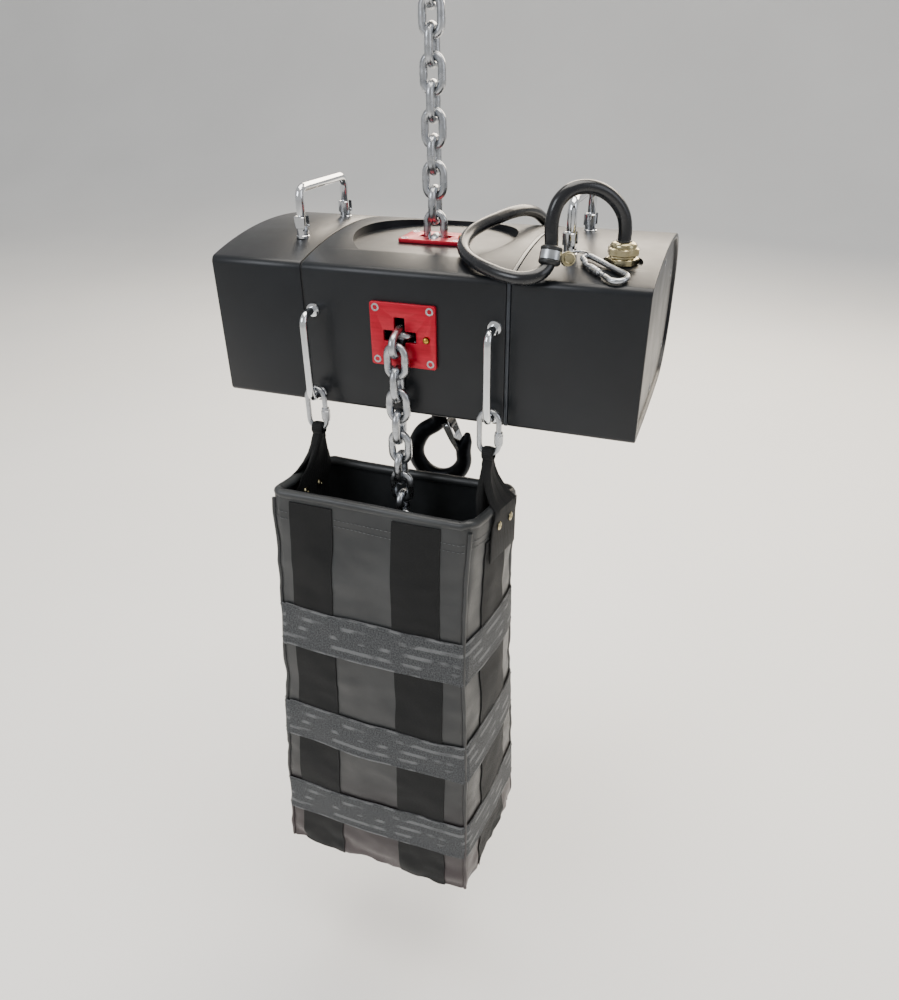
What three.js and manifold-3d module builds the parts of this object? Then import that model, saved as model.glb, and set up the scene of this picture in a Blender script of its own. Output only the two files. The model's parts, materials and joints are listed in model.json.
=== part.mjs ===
// Electric chain hoist with a chain bag, hanging on its own chain.
// Millimetres, +Z up. The design is laid out from the front top edge of the housing:
// X runs along the housing from the plane of the chain, Y goes back from the front face
// and Z goes up. The last group moves the origin to the seat of the top hook.
import * as THREE from 'three';
import { mergeVertices } from 'three/addons/utils/BufferGeometryUtils.js';
import Module from 'manifold-3d';

const wasm = await Module();
wasm.setup();

// ---------------------------------------------------------------- driving sizes
const GAP = 0.3; // air between pieces that touch
const WALL = 5; // aluminium shells

const LEFT_COVER_LENGTH = 93.7;
const CENTRE_LEFT = 94; // centre housing, left of the chain
const CENTRE_RIGHT = 95.2; // centre housing, right of the chain
const RIGHT_COVER_LENGTH = 112.5;
const RIGHT_GASKET = 3.7;
const DEPTH = 224;
const FACE_HEIGHT = 130; // front face, edge to edge
const CROWN = 15.5; // rise of the vaulted top over its edges
const SAG = 4; // fall of the vaulted bottom
const CORNERS = { frontTop: 7, backTop: 60, backBottom: 60, frontBottom: 4 };
const END_PLATE = { thickness: 4, inset: 3, ledge: 4 };

const LOAD_LINE = 90; // depth of the vertical chain run
const CHAIN = { wire: 7.1, pitch: 21, halfWidth: 8.35 }; // to the middle of the wire
const LINK_BITE = 0.15; // each link's share of the contact that makes a run one body
const WHEEL = { z: -76, halfWidth: 17, groove: 4.75, flangeOver: 5.56, bore: 8.3 };
const LINKS_UP = 14; // links between the wheel and the top hook
const LINKS_ON_WHEEL = 2; // of those, the ones that move with the wheel's run
const RUN_PLAY = 0.4; // slack between the hanging run and the run on the wheel
const SLACK_LINKS = 20; // links that hang from the exit into the bag
const EXIT = { inY: 2, slope: 0.29, y: -13.5, z: -65.5, lift: 0.6 }; // last held link, slack run

const TOP_POCKET = { radius: 77, floor: 8, wall: 5 };
const TOP_PLATE = { width: 61, depth: 40, thickness: 3.5 };
const FRONT_PLATE = { width: 62, height: 57, thickness: 3.5, x: 3, z: -55 };
const FRONT_HOLE_Z = -56;
const CROSS = { armWidth: 10, half: 15.5, tall: 17 };
const CHAIN_WELL = 34; // square hole in the casting under each plate
const PLUNGER = { x: 25, radius: 2.6, travel: 3, proud: 2.5 };
const SWITCH = { width: 10, depth: 15, height: 15, overlap: 5.2 };

const TOP_HANDLE = { rod: 8, first: 52, spacing: 90, pivot: 22, bar: 54, bend: 10 };
const LEFT_HANDLE_X = -119;
const RIGHT_HANDLE_X = 135;
const FERRULE = {
  inner: TOP_HANDLE.rod / 2 + 0.6,
  outer: TOP_HANDLE.rod / 2 + 3,
  height: 8, // over the pivot
  pin: 1.5,
};
const BAG_HANDLE = { rod: 7, x: 86, top: -40.5, bottom: -121, reach: 20, bend: 10 };

const GLAND = { x: 180, y: 45.5, spot: 17, floor: 8.2, acrossFlats: 24, thread: 9.7, top: 26.7 };
const CABLE = { diameter: 11, sides: 8, steps: 60 };

const TOP_HOOK = { throat: 15, bar: 14, thickness: 12, seat: 305, tip: 24 };
const LOAD_HOOK = { throat: 18.5, bar: 19, thickness: 15, bowl: -215, tip: 27 };
const HOOK_BEVEL = 1.6;
const HOOK_BLOCK = { bottom: 207, height: 40, width: 32, depth: 34 };
const COLLAR = { radius: 25, height: 15, bore: 9.4, spigot: 13 };

const LOAD_GEAR = { teeth: 40, module: 2, from: -112, to: -100 };
const LAY_PINION = { teeth: 12, module: 2, from: -113, to: -99 };
const LAY_GEAR = { teeth: 48, module: 1.5, from: -128, to: -118 };
const ROTOR_PINION = { teeth: 12, module: 1.5, from: -130, to: -116 };
const MOTOR = { behind: 64, z: -60, stator: 49, bore: 28, rotor: 27.5, from: -30, to: 50 };
const SHAFT = { load: 8, lay: 7, rotor: 6, outerEnd: -152 };
const BRAKE = { disc: 66, discEnd: 71.3, discRadius: 38, release: 0.5, magnetRadius: 40, end: 92 };
const OUTER_PLATE = { from: -150, to: -145 };
const INNER_PLATE = { from: -93, to: -87 };
const BEARING_PLATE = { from: 30, to: 36 };

const BAG = { rim: -200, bottom: -680, halfWidth: 102, halfDepth: 42, y: -20, skin: 3, corner: 14 };
const RIM_TUBE = 8;
const QUICK_LINK = { wire: 5, halfWidth: 9, top: -112, length: 41, y: -11.5 };
const PILE_TOP = -498;

// ---------------------------------------------------------------- finishes
const FINISH = {
  blackCoat: [0x1b1d20, 0.55, 0.35],
  castBlack: [0x24262a, 0.6, 0.5],
  redAnodised: [0xc8102a, 0.35, 0.8],
  zinc: [0xc9ccd0, 0.35, 1.0],
  chrome: [0xe4e6e8, 0.12, 1.0],
  nickel: [0xc9bf9c, 0.3, 1.0],
  brass: [0xc59a3f, 0.35, 1.0],
  steel: [0x9aa0a6, 0.4, 1.0],
  hookBlack: [0x17181a, 0.4, 0.7],
  aluminium: [0xaeb2b6, 0.45, 0.9],
  copper: [0x8f5a34, 0.5, 0.7],
  rubber: [0x141414, 0.6, 0.0],
  bagPlastic: [0x1f2123, 0.5, 0.0],
  webbing: [0x2b2c2e, 0.85, 0.0],
  plastic: [0x2a2c30, 0.5, 0.0],
};

// ---------------------------------------------------------------- solids
/** A closed manifold-3d solid of a three.js geometry. */
function toSolid(geometry) {
  const plain = geometry.index ? geometry.toNonIndexed() : geometry.clone();
  plain.deleteAttribute('normal');
  plain.deleteAttribute('uv');
  const merged = mergeVertices(plain, 1e-4);
  const mesh = new wasm.Mesh({
    numProp: 3,
    vertProperties: Float32Array.from(merged.attributes.position.array),
    triVerts: Uint32Array.from(merged.index.array),
  });
  return new wasm.Manifold(mesh);
}

/** The three.js geometry of a manifold-3d solid. */
function toGeometry(solid) {
  const mesh = solid.getMesh();
  const geometry = new THREE.BufferGeometry();
  geometry.setAttribute('position', new THREE.BufferAttribute(mesh.vertProperties, mesh.numProp));
  geometry.setIndex(new THREE.BufferAttribute(mesh.triVerts, 1));
  geometry.computeVertexNormals();
  return geometry;
}

const join = (...pieces) => toGeometry(pieces.map(toSolid).reduce((all, next) => all.add(next)));
const cut = (body, ...tools) =>
  toGeometry(tools.map(toSolid).reduce((rest, tool) => rest.subtract(tool), toSolid(body)));
const common = (a, b) => toGeometry(toSolid(a).intersect(toSolid(b)));

/** A box between two corners. */
function block(x1, x2, y1, y2, z1, z2) {
  const box = new THREE.BoxGeometry(x2 - x1, y2 - y1, z2 - z1);
  return box.translate((x1 + x2) / 2, (y1 + y2) / 2, (z1 + z2) / 2);
}

/** A round bar from one point to another. */
function bar(from, to, radius, sides = 12, endRadius = radius) {
  const start = new THREE.Vector3(...from);
  const way = new THREE.Vector3(...to).sub(start);
  const rod = new THREE.CylinderGeometry(endRadius, radius, way.length(), sides);
  rod.rotateY(Math.PI / sides);
  const turn = new THREE.Quaternion().setFromUnitVectors(
    new THREE.Vector3(0, 1, 0),
    way.clone().normalize(),
  );
  rod.applyQuaternion(turn);
  return rod.translate(...start.addScaledVector(way, 0.5).toArray());
}

/** A turned piece: [radius, height] pairs that close on themselves or on the axis, up +Z. */
function turned(profile, sides = 24) {
  const points = profile.map(([radius, height]) => new THREE.Vector2(radius, height));
  return new THREE.LatheGeometry(points, sides).rotateX(Math.PI / 2);
}

/** An outline drawn in depth and height (Y, Z), extruded along X. */
function alongX(shape, x1, x2) {
  const solid = new THREE.ExtrudeGeometry(shape, { depth: x2 - x1, bevelEnabled: false });
  const axes = new THREE.Matrix4().makeBasis(
    new THREE.Vector3(0, 1, 0),
    new THREE.Vector3(0, 0, 1),
    new THREE.Vector3(1, 0, 0),
  );
  return solid.applyMatrix4(axes).translate(x1, 0, 0);
}

/** An outline drawn in X and Z, extruded along Y from y1 back to y2, with an optional bevel. */
function alongY(shape, y1, y2, bevel = 0) {
  const solid = new THREE.ExtrudeGeometry(shape, {
    depth: y2 - y1 - 2 * bevel,
    bevelEnabled: bevel > 0,
    bevelThickness: bevel,
    bevelSize: bevel,
    bevelOffset: -bevel,
    bevelSegments: 1,
    curveSegments: 4,
  });
  const axes = new THREE.Matrix4().makeBasis(
    new THREE.Vector3(1, 0, 0),
    new THREE.Vector3(0, 0, 1),
    new THREE.Vector3(0, -1, 0),
  );
  return solid.applyMatrix4(axes).translate(0, y2 - bevel, 0);
}

/** A rod bent along a list of points with rounded corners. */
function bentRod(points, bend, radius, sides = 8, perBend = 3) {
  const corners = points.map((point) => new THREE.Vector3(...point));
  const path = new THREE.CurvePath();
  let at = corners[0];
  for (let i = 1; i < corners.length - 1; i += 1) {
    const back = corners[i - 1].clone().sub(corners[i]).normalize();
    const on = corners[i + 1].clone().sub(corners[i]).normalize();
    const start = corners[i].clone().addScaledVector(back, bend);
    const end = corners[i].clone().addScaledVector(on, bend);
    path.add(new THREE.LineCurve3(at, start));
    path.add(new THREE.QuadraticBezierCurve3(start, corners[i], end));
    at = end;
  }
  path.add(new THREE.LineCurve3(at, corners[corners.length - 1]));
  return sweep(path, radius, sides, perBend * 2 * (corners.length - 1));
}

/** A round section swept along a curve. */
function sweep(path, radius, sides, steps) {
  const section = new THREE.Shape(circlePoints(0, 0, radius, sides));
  return new THREE.ExtrudeGeometry(section, { steps, bevelEnabled: false, extrudePath: path });
}

function circlePoints(x, y, radius, sides) {
  const ring = new THREE.EllipseCurve(x, y, radius, radius, 0, 2 * Math.PI).getPoints(sides);
  return ring.slice(0, -1);
}

/** A rectangle with rounded corners, centred on (x, y). */
function roundedRect(x, y, halfX, halfY, radius, perCorner = 3) {
  const corner = (sx, sy, from) =>
    new THREE.EllipseCurve(
      x + sx * (halfX - radius), y + sy * (halfY - radius), radius, radius, from, from + Math.PI / 2,
    ).getPoints(perCorner);
  return new THREE.Shape([
    ...corner(1, 1, 0),
    ...corner(-1, 1, Math.PI / 2),
    ...corner(-1, -1, Math.PI),
    ...corner(1, -1, 1.5 * Math.PI),
  ]);
}

// ---------------------------------------------------------------- the hoist's scene graph
const hoist = new THREE.Group();

/** Adds one named sub-part. */
function part(name, geometry, finish, parent = hoist) {
  const [color, roughness, metalness] = FINISH[finish];
  const mesh = new THREE.Mesh(
    geometry,
    new THREE.MeshStandardMaterial({ color, roughness, metalness }),
  );
  mesh.name = name;
  parent.add(mesh);
  return mesh;
}

// ---------------------------------------------------------------- housing section
/** Radius of a shallow arc over the whole depth with the given rise. */
const arcRadius = (rise) => (rise * rise + (DEPTH * DEPTH) / 4) / (2 * rise);
const TOP_ARC = { radius: arcRadius(CROWN), z: CROWN - arcRadius(CROWN) };
const BOTTOM_ARC = { radius: arcRadius(SAG), z: arcRadius(SAG) - FACE_HEIGHT - SAG };

/** Height of the top and of the bottom surface at a depth. */
const topAt = (y) => TOP_ARC.z + Math.sqrt(TOP_ARC.radius ** 2 - (y - DEPTH / 2) ** 2);
const bottomAt = (y) => BOTTOM_ARC.z - Math.sqrt(BOTTOM_ARC.radius ** 2 - (y - DEPTH / 2) ** 2);

/** One rounded corner of the section, moved inwards by `inset`: its centre and its start angle. */
function sectionCorner(arc, upper, front, radius, inset) {
  const r = Math.max(radius - inset, 1);
  const y = front ? inset + r : DEPTH - inset - r;
  const reach = arc.radius - inset - r;
  const rise = Math.sqrt(reach ** 2 - (y - DEPTH / 2) ** 2);
  const z = arc.z + (upper ? rise : -rise);
  return { y, z, r, angle: Math.atan2(z - arc.z, y - DEPTH / 2) };
}

/** Closed outline of the housing section (Y, Z), moved inwards by `inset`. */
function housingOutline(inset = 0) {
  const frontTop = sectionCorner(TOP_ARC, true, true, CORNERS.frontTop, inset);
  const backTop = sectionCorner(TOP_ARC, true, false, CORNERS.backTop, inset);
  const backBottom = sectionCorner(BOTTOM_ARC, false, false, CORNERS.backBottom, inset);
  const frontBottom = sectionCorner(BOTTOM_ARC, false, true, CORNERS.frontBottom, inset);
  const arc = (y, z, radius, from, to, steps) =>
    new THREE.EllipseCurve(y, z, radius, radius, from, to, true).getPoints(steps);
  const half = DEPTH / 2;
  const points = [
    ...arc(frontTop.y, frontTop.z, frontTop.r, Math.PI, frontTop.angle, 2),
    ...arc(half, TOP_ARC.z, TOP_ARC.radius - inset, frontTop.angle, backTop.angle, 5),
    ...arc(backTop.y, backTop.z, backTop.r, backTop.angle, 0, 4),
    ...arc(backBottom.y, backBottom.z, backBottom.r, 0, backBottom.angle, 4),
    ...arc(half, BOTTOM_ARC.z, BOTTOM_ARC.radius - inset, backBottom.angle, frontBottom.angle, 2),
    ...arc(frontBottom.y, frontBottom.z, frontBottom.r, frontBottom.angle, -Math.PI, 2),
  ];
  const clean = points.filter((point, i) => {
    const before = points[(i + points.length - 1) % points.length];
    return point.distanceTo(before) > 0.02;
  });
  return new THREE.Shape(clean.reverse());
}

/** The housing section between two planes, moved inwards by `inset`. */
const housingSlice = (x1, x2, inset = 0) => alongX(housingOutline(inset), x1, x2);

// ---------------------------------------------------------------- places along the housing
const leftCoverTo = -CENTRE_LEFT - GAP;
const leftEnd = leftCoverTo - LEFT_COVER_LENGTH;
const rightGasketTo = CENTRE_RIGHT + GAP + RIGHT_GASKET;
const rightCoverFrom = rightGasketTo + GAP;
const rightEnd = rightCoverFrom + RIGHT_COVER_LENGTH;

// ---------------------------------------------------------------- the chain's way
const wheelRadius = CHAIN.pitch / (2 * Math.sin(Math.PI / 8)); // to the joints of the links
const wheelY = LOAD_LINE - wheelRadius;
const flangeRadius = wheelRadius + WHEEL.flangeOver;
const linkHalf = CHAIN.pitch / 2 + CHAIN.wire / 2; // to the middle of the wire at the crown

/** The point at `pitch` from both ends of a span, on its upper side, in the (Y, Z) plane. */
function elbow(from, to, first, second) {
  const span = to.clone().sub(from);
  const along = (span.lengthSq() + first ** 2 - second ** 2) / (2 * span.length());
  const rise = Math.sqrt(first ** 2 - along ** 2);
  const unit = span.clone().normalize();
  const up = new THREE.Vector2(-unit.y, unit.x);
  if (up.y < 0) up.negate();
  return from.clone().addScaledVector(unit, along).addScaledVector(up, rise);
}

/** Joints of the load chain, from the top hook down, round the wheel and out at the front. */
function loadChainJoints() {
  const joints = [];
  for (let n = LINKS_UP; n > 0; n -= 1) {
    joints.push(new THREE.Vector2(LOAD_LINE, WHEEL.z + CHAIN.pitch * n));
  }
  for (let step = 0; step <= 4; step += 1) {
    const angle = (-step * Math.PI) / 4;
    joints.push(
      new THREE.Vector2(
        wheelY + wheelRadius * Math.cos(angle),
        WHEEL.z + wheelRadius * Math.sin(angle),
      ),
    );
  }
  const inWall = new THREE.Vector2(EXIT.inY, FRONT_HOLE_Z);
  const out = new THREE.Vector2(-Math.sqrt(1 - EXIT.slope ** 2), -EXIT.slope);
  joints.push(elbow(joints[joints.length - 1], inWall, CHAIN.pitch, CHAIN.pitch));
  joints.push(inWall, inWall.clone().addScaledVector(out, CHAIN.pitch));
  return joints;
}

/** One chain link: `along` is its length, `side` its width. */
function link(centre, along, side) {
  const eighth = Math.PI / 8;
  const ring = new THREE.TorusGeometry(CHAIN.halfWidth / Math.cos(eighth), CHAIN.wire / 2, 4, 8);
  ring.rotateZ(eighth);
  const place = ring.attributes.position;
  const crown = CHAIN.pitch / 2 + (CHAIN.wire / 2) * Math.cos(eighth) - LINK_BITE;
  const stretch = crown - CHAIN.halfWidth;
  for (let i = 0; i < place.count; i += 1) {
    place.setY(i, place.getY(i) + Math.sign(place.getY(i)) * stretch);
  }
  const axes = new THREE.Matrix4().makeBasis(
    side, along, new THREE.Vector3().crossVectors(side, along),
  );
  return ring.applyMatrix4(axes).translate(centre.x, centre.y, centre.z);
}

/** A run of links through joints in the (Y, Z) plane; `open` says how the first link lies. */
function chainRun(joints, open) {
  const across = new THREE.Vector3(1, 0, 0);
  const links = joints.slice(1).map((end, i) => {
    const start = joints[i];
    const centre = new THREE.Vector3(0, (start.x + end.x) / 2, (start.y + end.y) / 2);
    const along = new THREE.Vector3(0, end.x - start.x, end.y - start.y).normalize();
    const flat = (i % 2 === 0) === open;
    const side = flat ? across : new THREE.Vector3().crossVectors(across, along);
    return link(centre, along, side);
  });
  return join(...links);
}

// ---------------------------------------------------------------- housing
/** An end cover: a shell with a ledge that its end plate seats on. */
function endCover(outerX, innerX) {
  const inwards = Math.sign(innerX - outerX);
  const seat = outerX + inwards * (END_PLATE.inset + END_PLATE.thickness + GAP);
  const ledgeEnd = seat + inwards * END_PLATE.ledge;
  const slab = (a, b, inset) => housingSlice(Math.min(a, b), Math.max(a, b), inset);
  const shell = slab(outerX, innerX, 0);
  return cut(
    shell,
    slab(outerX - inwards, seat, WALL),
    slab(seat - inwards, ledgeEnd + inwards, WALL + END_PLATE.ledge),
    slab(ledgeEnd, innerX + inwards, WALL),
  );
}

function endPlate(outerX, side) {
  const face = outerX - side * END_PLATE.inset;
  const back = face - side * END_PLATE.thickness;
  return housingSlice(Math.min(face, back), Math.max(face, back), WALL + GAP);
}

/** A thin ring between two shells. */
const gasket = (x1, x2) => cut(housingSlice(x1, x2), housingSlice(x1 - 1, x2 + 1, WALL));

/** A plus-shaped cutter for the chain, drawn flat in X and Z about (0, z). */
function crossCutters(z, y1, y2) {
  const arm = CROSS.armWidth / 2;
  return [
    block(-arm, arm, y1, y2, z - CROSS.tall, z + CROSS.tall),
    block(-CROSS.half, CROSS.half, y1, y2, z - arm, z + arm),
  ];
}

/** The same for the top plate, about the load line. */
function topCrossCutters(z1, z2) {
  const arm = CROSS.armWidth / 2;
  const { half } = CROSS;
  return [
    block(-arm, arm, LOAD_LINE - half, LOAD_LINE + half, z1, z2),
    block(-half, half, LOAD_LINE - arm, LOAD_LINE + arm, z1, z2),
  ];
}

const topPlateFrom = TOP_POCKET.floor + GAP;
const topPlateTo = topPlateFrom + TOP_PLATE.thickness;
const frontPlateTo = -GAP;
const frontPlateFrom = frontPlateTo - FRONT_PLATE.thickness;
const plungerHole = PLUNGER.radius + 0.4;
const plungerZ = FRONT_PLATE.z - 2;

function makeCentreHousing() {
  const shell = cut(
    housingSlice(-CENTRE_LEFT, CENTRE_RIGHT),
    housingSlice(-CENTRE_LEFT - 1, CENTRE_RIGHT + 1, WALL),
  );
  const roof = CROWN + 1;
  const column = (radius, z1, z2) =>
    bar([0, LOAD_LINE, z1], [0, LOAD_LINE, z2], radius, 32);
  const bossFloor = TOP_POCKET.floor - TOP_POCKET.wall;
  const boss = common(
    column(TOP_POCKET.radius + TOP_POCKET.wall, bossFloor, roof),
    housingSlice(-CENTRE_LEFT, CENTRE_RIGHT),
  );
  const well = CHAIN_WELL / 2;
  const collarHole = bottomAt(LOAD_LINE);
  return cut(
    join(shell, boss),
    column(TOP_POCKET.radius, TOP_POCKET.floor, roof + 1),
    block(-well, well, LOAD_LINE - well, LOAD_LINE + well, bossFloor - 1, roof),
    bar([PLUNGER.x, LOAD_LINE, bossFloor - 1], [PLUNGER.x, LOAD_LINE, roof], plungerHole),
    block(-well, well, -1, WALL + 1, FRONT_HOLE_Z - well, FRONT_HOLE_Z + well),
    bar([PLUNGER.x, -1, plungerZ], [PLUNGER.x, WALL + 1, plungerZ], plungerHole),
    bar([0, LOAD_LINE, collarHole - 2], [0, LOAD_LINE, collarHole + WALL + 2],
      COLLAR.spigot + GAP, 24),
  );
}

function makeRightCover() {
  const shell = endCover(rightEnd, rightCoverFrom);
  const column = (radius, z1, z2) =>
    bar([GLAND.x, GLAND.y, z1], [GLAND.x, GLAND.y, z2], radius, 24);
  const boss = common(
    column(GLAND.spot + 3, GLAND.floor - WALL - 1, CROWN),
    housingSlice(rightCoverFrom, rightEnd),
  );
  return cut(
    join(shell, boss),
    column(GLAND.spot, GLAND.floor, CROWN + 1),
    column(GLAND.thread + GAP, GLAND.floor - 2 * WALL, CROWN),
  );
}

function makeHousing() {
  part('left_cover', endCover(leftEnd, leftCoverTo), 'blackCoat');
  part('left_end_plate', endPlate(leftEnd, -1), 'blackCoat');
  part('centre_housing', makeCentreHousing(), 'blackCoat');
  part('right_gasket', gasket(rightGasketTo - RIGHT_GASKET, rightGasketTo), 'castBlack');
  part('right_cover', makeRightCover(), 'blackCoat');
  part('right_end_plate', endPlate(rightEnd, 1), 'blackCoat');
}

// ---------------------------------------------------------------- chain plates and limits
function makeChainPlates() {
  const topPlate = new THREE.ExtrudeGeometry(
    roundedRect(0, LOAD_LINE, TOP_PLATE.width / 2, TOP_PLATE.depth / 2, 2, 2),
    { depth: TOP_PLATE.thickness, bevelEnabled: false },
  ).translate(0, 0, topPlateFrom);
  part('top_chain_plate', cut(
    topPlate,
    ...topCrossCutters(topPlateFrom - 1, topPlateTo + 1),
    bar([PLUNGER.x, LOAD_LINE, topPlateFrom - 1], [PLUNGER.x, LOAD_LINE, topPlateTo + 1],
      plungerHole),
  ), 'redAnodised');

  const { width, height, x, z } = FRONT_PLATE;
  const frontPlate = alongY(
    roundedRect(x, z, width / 2, height / 2, 2, 2), frontPlateFrom, frontPlateTo,
  );
  part('front_chain_plate', cut(
    frontPlate,
    ...crossCutters(FRONT_HOLE_Z, frontPlateFrom - 1, frontPlateTo + 1),
    bar([PLUNGER.x, frontPlateFrom - 1, plungerZ], [PLUNGER.x, frontPlateTo + 1, plungerZ],
      plungerHole),
  ), 'redAnodised');
}

function makeLimits() {
  const { x, radius, travel, proud } = PLUNGER;
  const stemInside = 4;
  const topEnd = TOP_POCKET.floor - TOP_POCKET.wall - stemInside;
  part('top_limit_plunger',
    bar([x, LOAD_LINE, topEnd], [x, LOAD_LINE, topPlateTo + proud], radius), 'brass');
  const topSwitch = topEnd - travel - GAP;
  const half = SWITCH.depth / 2;
  const left = x - SWITCH.overlap;
  part('top_limit_switch', block(
    left, left + SWITCH.width, LOAD_LINE - half, LOAD_LINE + half, topSwitch - SWITCH.height, topSwitch,
  ), 'plastic');

  const frontEnd = WALL + stemInside;
  part('front_limit_plunger',
    bar([x, frontPlateFrom - proud, plungerZ], [x, frontEnd, plungerZ], radius), 'brass');
  const frontSwitch = frontEnd + travel + GAP;
  part('front_limit_switch', block(
    left, left + SWITCH.width, frontSwitch, frontSwitch + SWITCH.depth,
    plungerZ - half, plungerZ + half,
  ), 'plastic');
}

// ---------------------------------------------------------------- handles
/** The two chromed cups that a folding handle turns in, with their slots towards +X. */
function makeFerrule(name, x, y) {
  const base = Math.max(topAt(y - FERRULE.outer), topAt(y + FERRULE.outer)) + GAP;
  const top = TOP_HANDLE.pivot + FERRULE.height;
  const { outer, inner, pin } = FERRULE;
  const floor = TOP_HANDLE.pivot - inner - GAP;
  const body = bar([x, y, base], [x, y, top], outer, 12);
  part(name, cut(
    body,
    bar([x, y, floor], [x, y, top + 1], inner + 0.2, 8),
    block(x, x + outer + 1, y - inner, y + inner, floor, top + 1),
    bar([x, y - outer - 1, TOP_HANDLE.pivot], [x, y + outer + 1, TOP_HANDLE.pivot], pin + 0.4, 10),
  ), 'chrome');
}

function makeFoldingHandle(side, x) {
  const { rod, first, spacing, pivot, bar: top, bend } = TOP_HANDLE;
  const last = first + spacing;
  const bow = bentRod(
    [[x, first, pivot], [x, first, top], [x, last, top], [x, last, pivot]], bend, rod / 2,
  );
  const ends = [first, last].flatMap((y) => [
    new THREE.SphereGeometry(rod / 2, 8, 4).translate(x, y, pivot),
    bar([x, y - FERRULE.outer + GAP, pivot], [x, y + FERRULE.outer - GAP, pivot], FERRULE.pin, 8),
  ]);
  part(`${side}_handle`, join(bow, ...ends), 'chrome');
  makeFerrule(`${side}_handle_front_foot`, x, first);
  makeFerrule(`${side}_handle_rear_foot`, x, last);
}

function makeBagHandle(side, sign) {
  const { rod, top, bottom, reach, bend } = BAG_HANDLE;
  const x = sign * BAG_HANDLE.x;
  part(`${side}_bag_handle`, bentRod(
    [[x, -GAP, top], [x, -reach, top], [x, -reach, bottom], [x, -GAP, bottom]], bend, rod / 2,
  ), 'chrome');
}

// ---------------------------------------------------------------- hooks
/** A hook's outline about its bowl's centre, point down, neck up to `neck`, open to +X. */
function hookOutline({ throat, bar: thick, tip }, neck, neckHalf) {
  const outer = throat + thick;
  const shape = new THREE.Shape();
  const begin = (150 * Math.PI) / 180;
  const tipTop = new THREE.Vector2(outer * 0.98, tip);
  const tipAngle = (22 * Math.PI) / 180;
  shape.moveTo(-neckHalf, neck);
  shape.lineTo(-neckHalf, outer * 0.95);
  shape.quadraticCurveTo(-neckHalf, outer * 0.72, outer * Math.cos(begin), outer * Math.sin(begin));
  shape.absarc(0, 0, outer, begin, tipAngle + 2 * Math.PI, false);
  shape.lineTo(tipTop.x, tipTop.y);
  shape.lineTo(tipTop.x - thick * 0.32, tipTop.y + 0.8);
  const inner = (28 * Math.PI) / 180;
  shape.lineTo(throat * Math.cos(inner), throat * Math.sin(inner));
  shape.absarc(0, 0, throat, inner, (105 * Math.PI) / 180, true);
  shape.quadraticCurveTo(neckHalf * 0.6, throat * 1.02, neckHalf, outer * 0.95);
  shape.lineTo(neckHalf, neck);
  return shape;
}

/** A latch across the throat, with cheeks either side of the hook and its own pin. */
function latchGeometry(hook, pivot, tipPoint) {
  const half = hook.thickness / 2;
  const cheek = 2;
  const outerHalf = half + GAP + cheek;
  const way = tipPoint.clone().sub(pivot);
  const across = new THREE.Vector2(-way.y, way.x).normalize();
  const at = (share, offset) =>
    pivot.clone().addScaledVector(way, share).addScaledVector(across, offset);
  const outline = new THREE.Shape([
    at(-0.16, -4), at(-0.16, 4), at(0.3, 3.4), at(0.55, 2.6), at(1, 1.4), at(1, -1.8), at(0.5, -3.6),
  ]);
  const arm = alongY(outline, -outerHalf, outerHalf);
  const slotEnd = at(0.52, 0);
  const slot = alongY(new THREE.Shape([
    at(-0.5, -12), at(-0.5, 12), slotEnd.clone().addScaledVector(across, 12),
    slotEnd.clone().addScaledVector(across, -12),
  ]), -half - GAP, half + GAP);
  const pin = bar([pivot.x, -outerHalf - 1, pivot.y], [pivot.x, outerHalf + 1, pivot.y], 2, 10);
  return join(cut(arm, slot), pin);
}

/** Hook and latch about the bowl's centre: a lug beside the neck carries the latch. */
function makeHook(hook, neck, neckHalf, names, place, latchFinish) {
  const outer = hook.throat + hook.bar;
  const pivot = new THREE.Vector2(neckHalf + 3.5, outer * 0.98);
  const tipPoint = new THREE.Vector2(hook.throat * 1.28, hook.throat * 0.62);
  const half = hook.thickness / 2;
  const body = alongY(hookOutline(hook, neck, neckHalf), -half, half, HOOK_BEVEL);
  const lug = bar([pivot.x, -half, pivot.y], [pivot.x, half, pivot.y], 5, 14);
  const web = block(0, pivot.x, -half, half, pivot.y - 4.8, pivot.y + 4.8);
  const hole = bar([pivot.x, -half - 1, pivot.y], [pivot.x, half + 1, pivot.y], 2.4, 10);
  const shank = bar([0, 0, neck - 8], [0, 0, neck + place.shank], place.shankRadius, 16);
  const latchRoom = hookLatchRoom(pivot, tipPoint, half);
  const solid = cut(join(body, lug, web, shank), hole, latchRoom);
  const group = new THREE.Group();
  group.position.set(0, LOAD_LINE, place.z);
  group.rotation.set(place.flip ? Math.PI : 0, 0, 0);
  hoist.add(group);
  part(names.hook, solid, 'hookBlack', group);
  part(names.latch, latchGeometry(hook, pivot, tipPoint), latchFinish, group);
}

/** Clears the inside of the tip, so that the latch's end has air around it. */
function hookLatchRoom(pivot, tipPoint, half) {
  const way = tipPoint.clone().sub(pivot).normalize();
  const across = new THREE.Vector2(-way.y, way.x);
  const at = (along, offset) =>
    tipPoint.clone().addScaledVector(way, along).addScaledVector(across, offset);
  return alongY(new THREE.Shape([at(-16, -9), at(-16, 4), at(-9, 3.6), at(0.8, 2), at(0.8, -9)]),
    -half - 1, half + 1);
}

const topHookCentre = TOP_HOOK.seat - TOP_HOOK.throat;
const blockTop = HOOK_BLOCK.bottom + HOOK_BLOCK.height;

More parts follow.
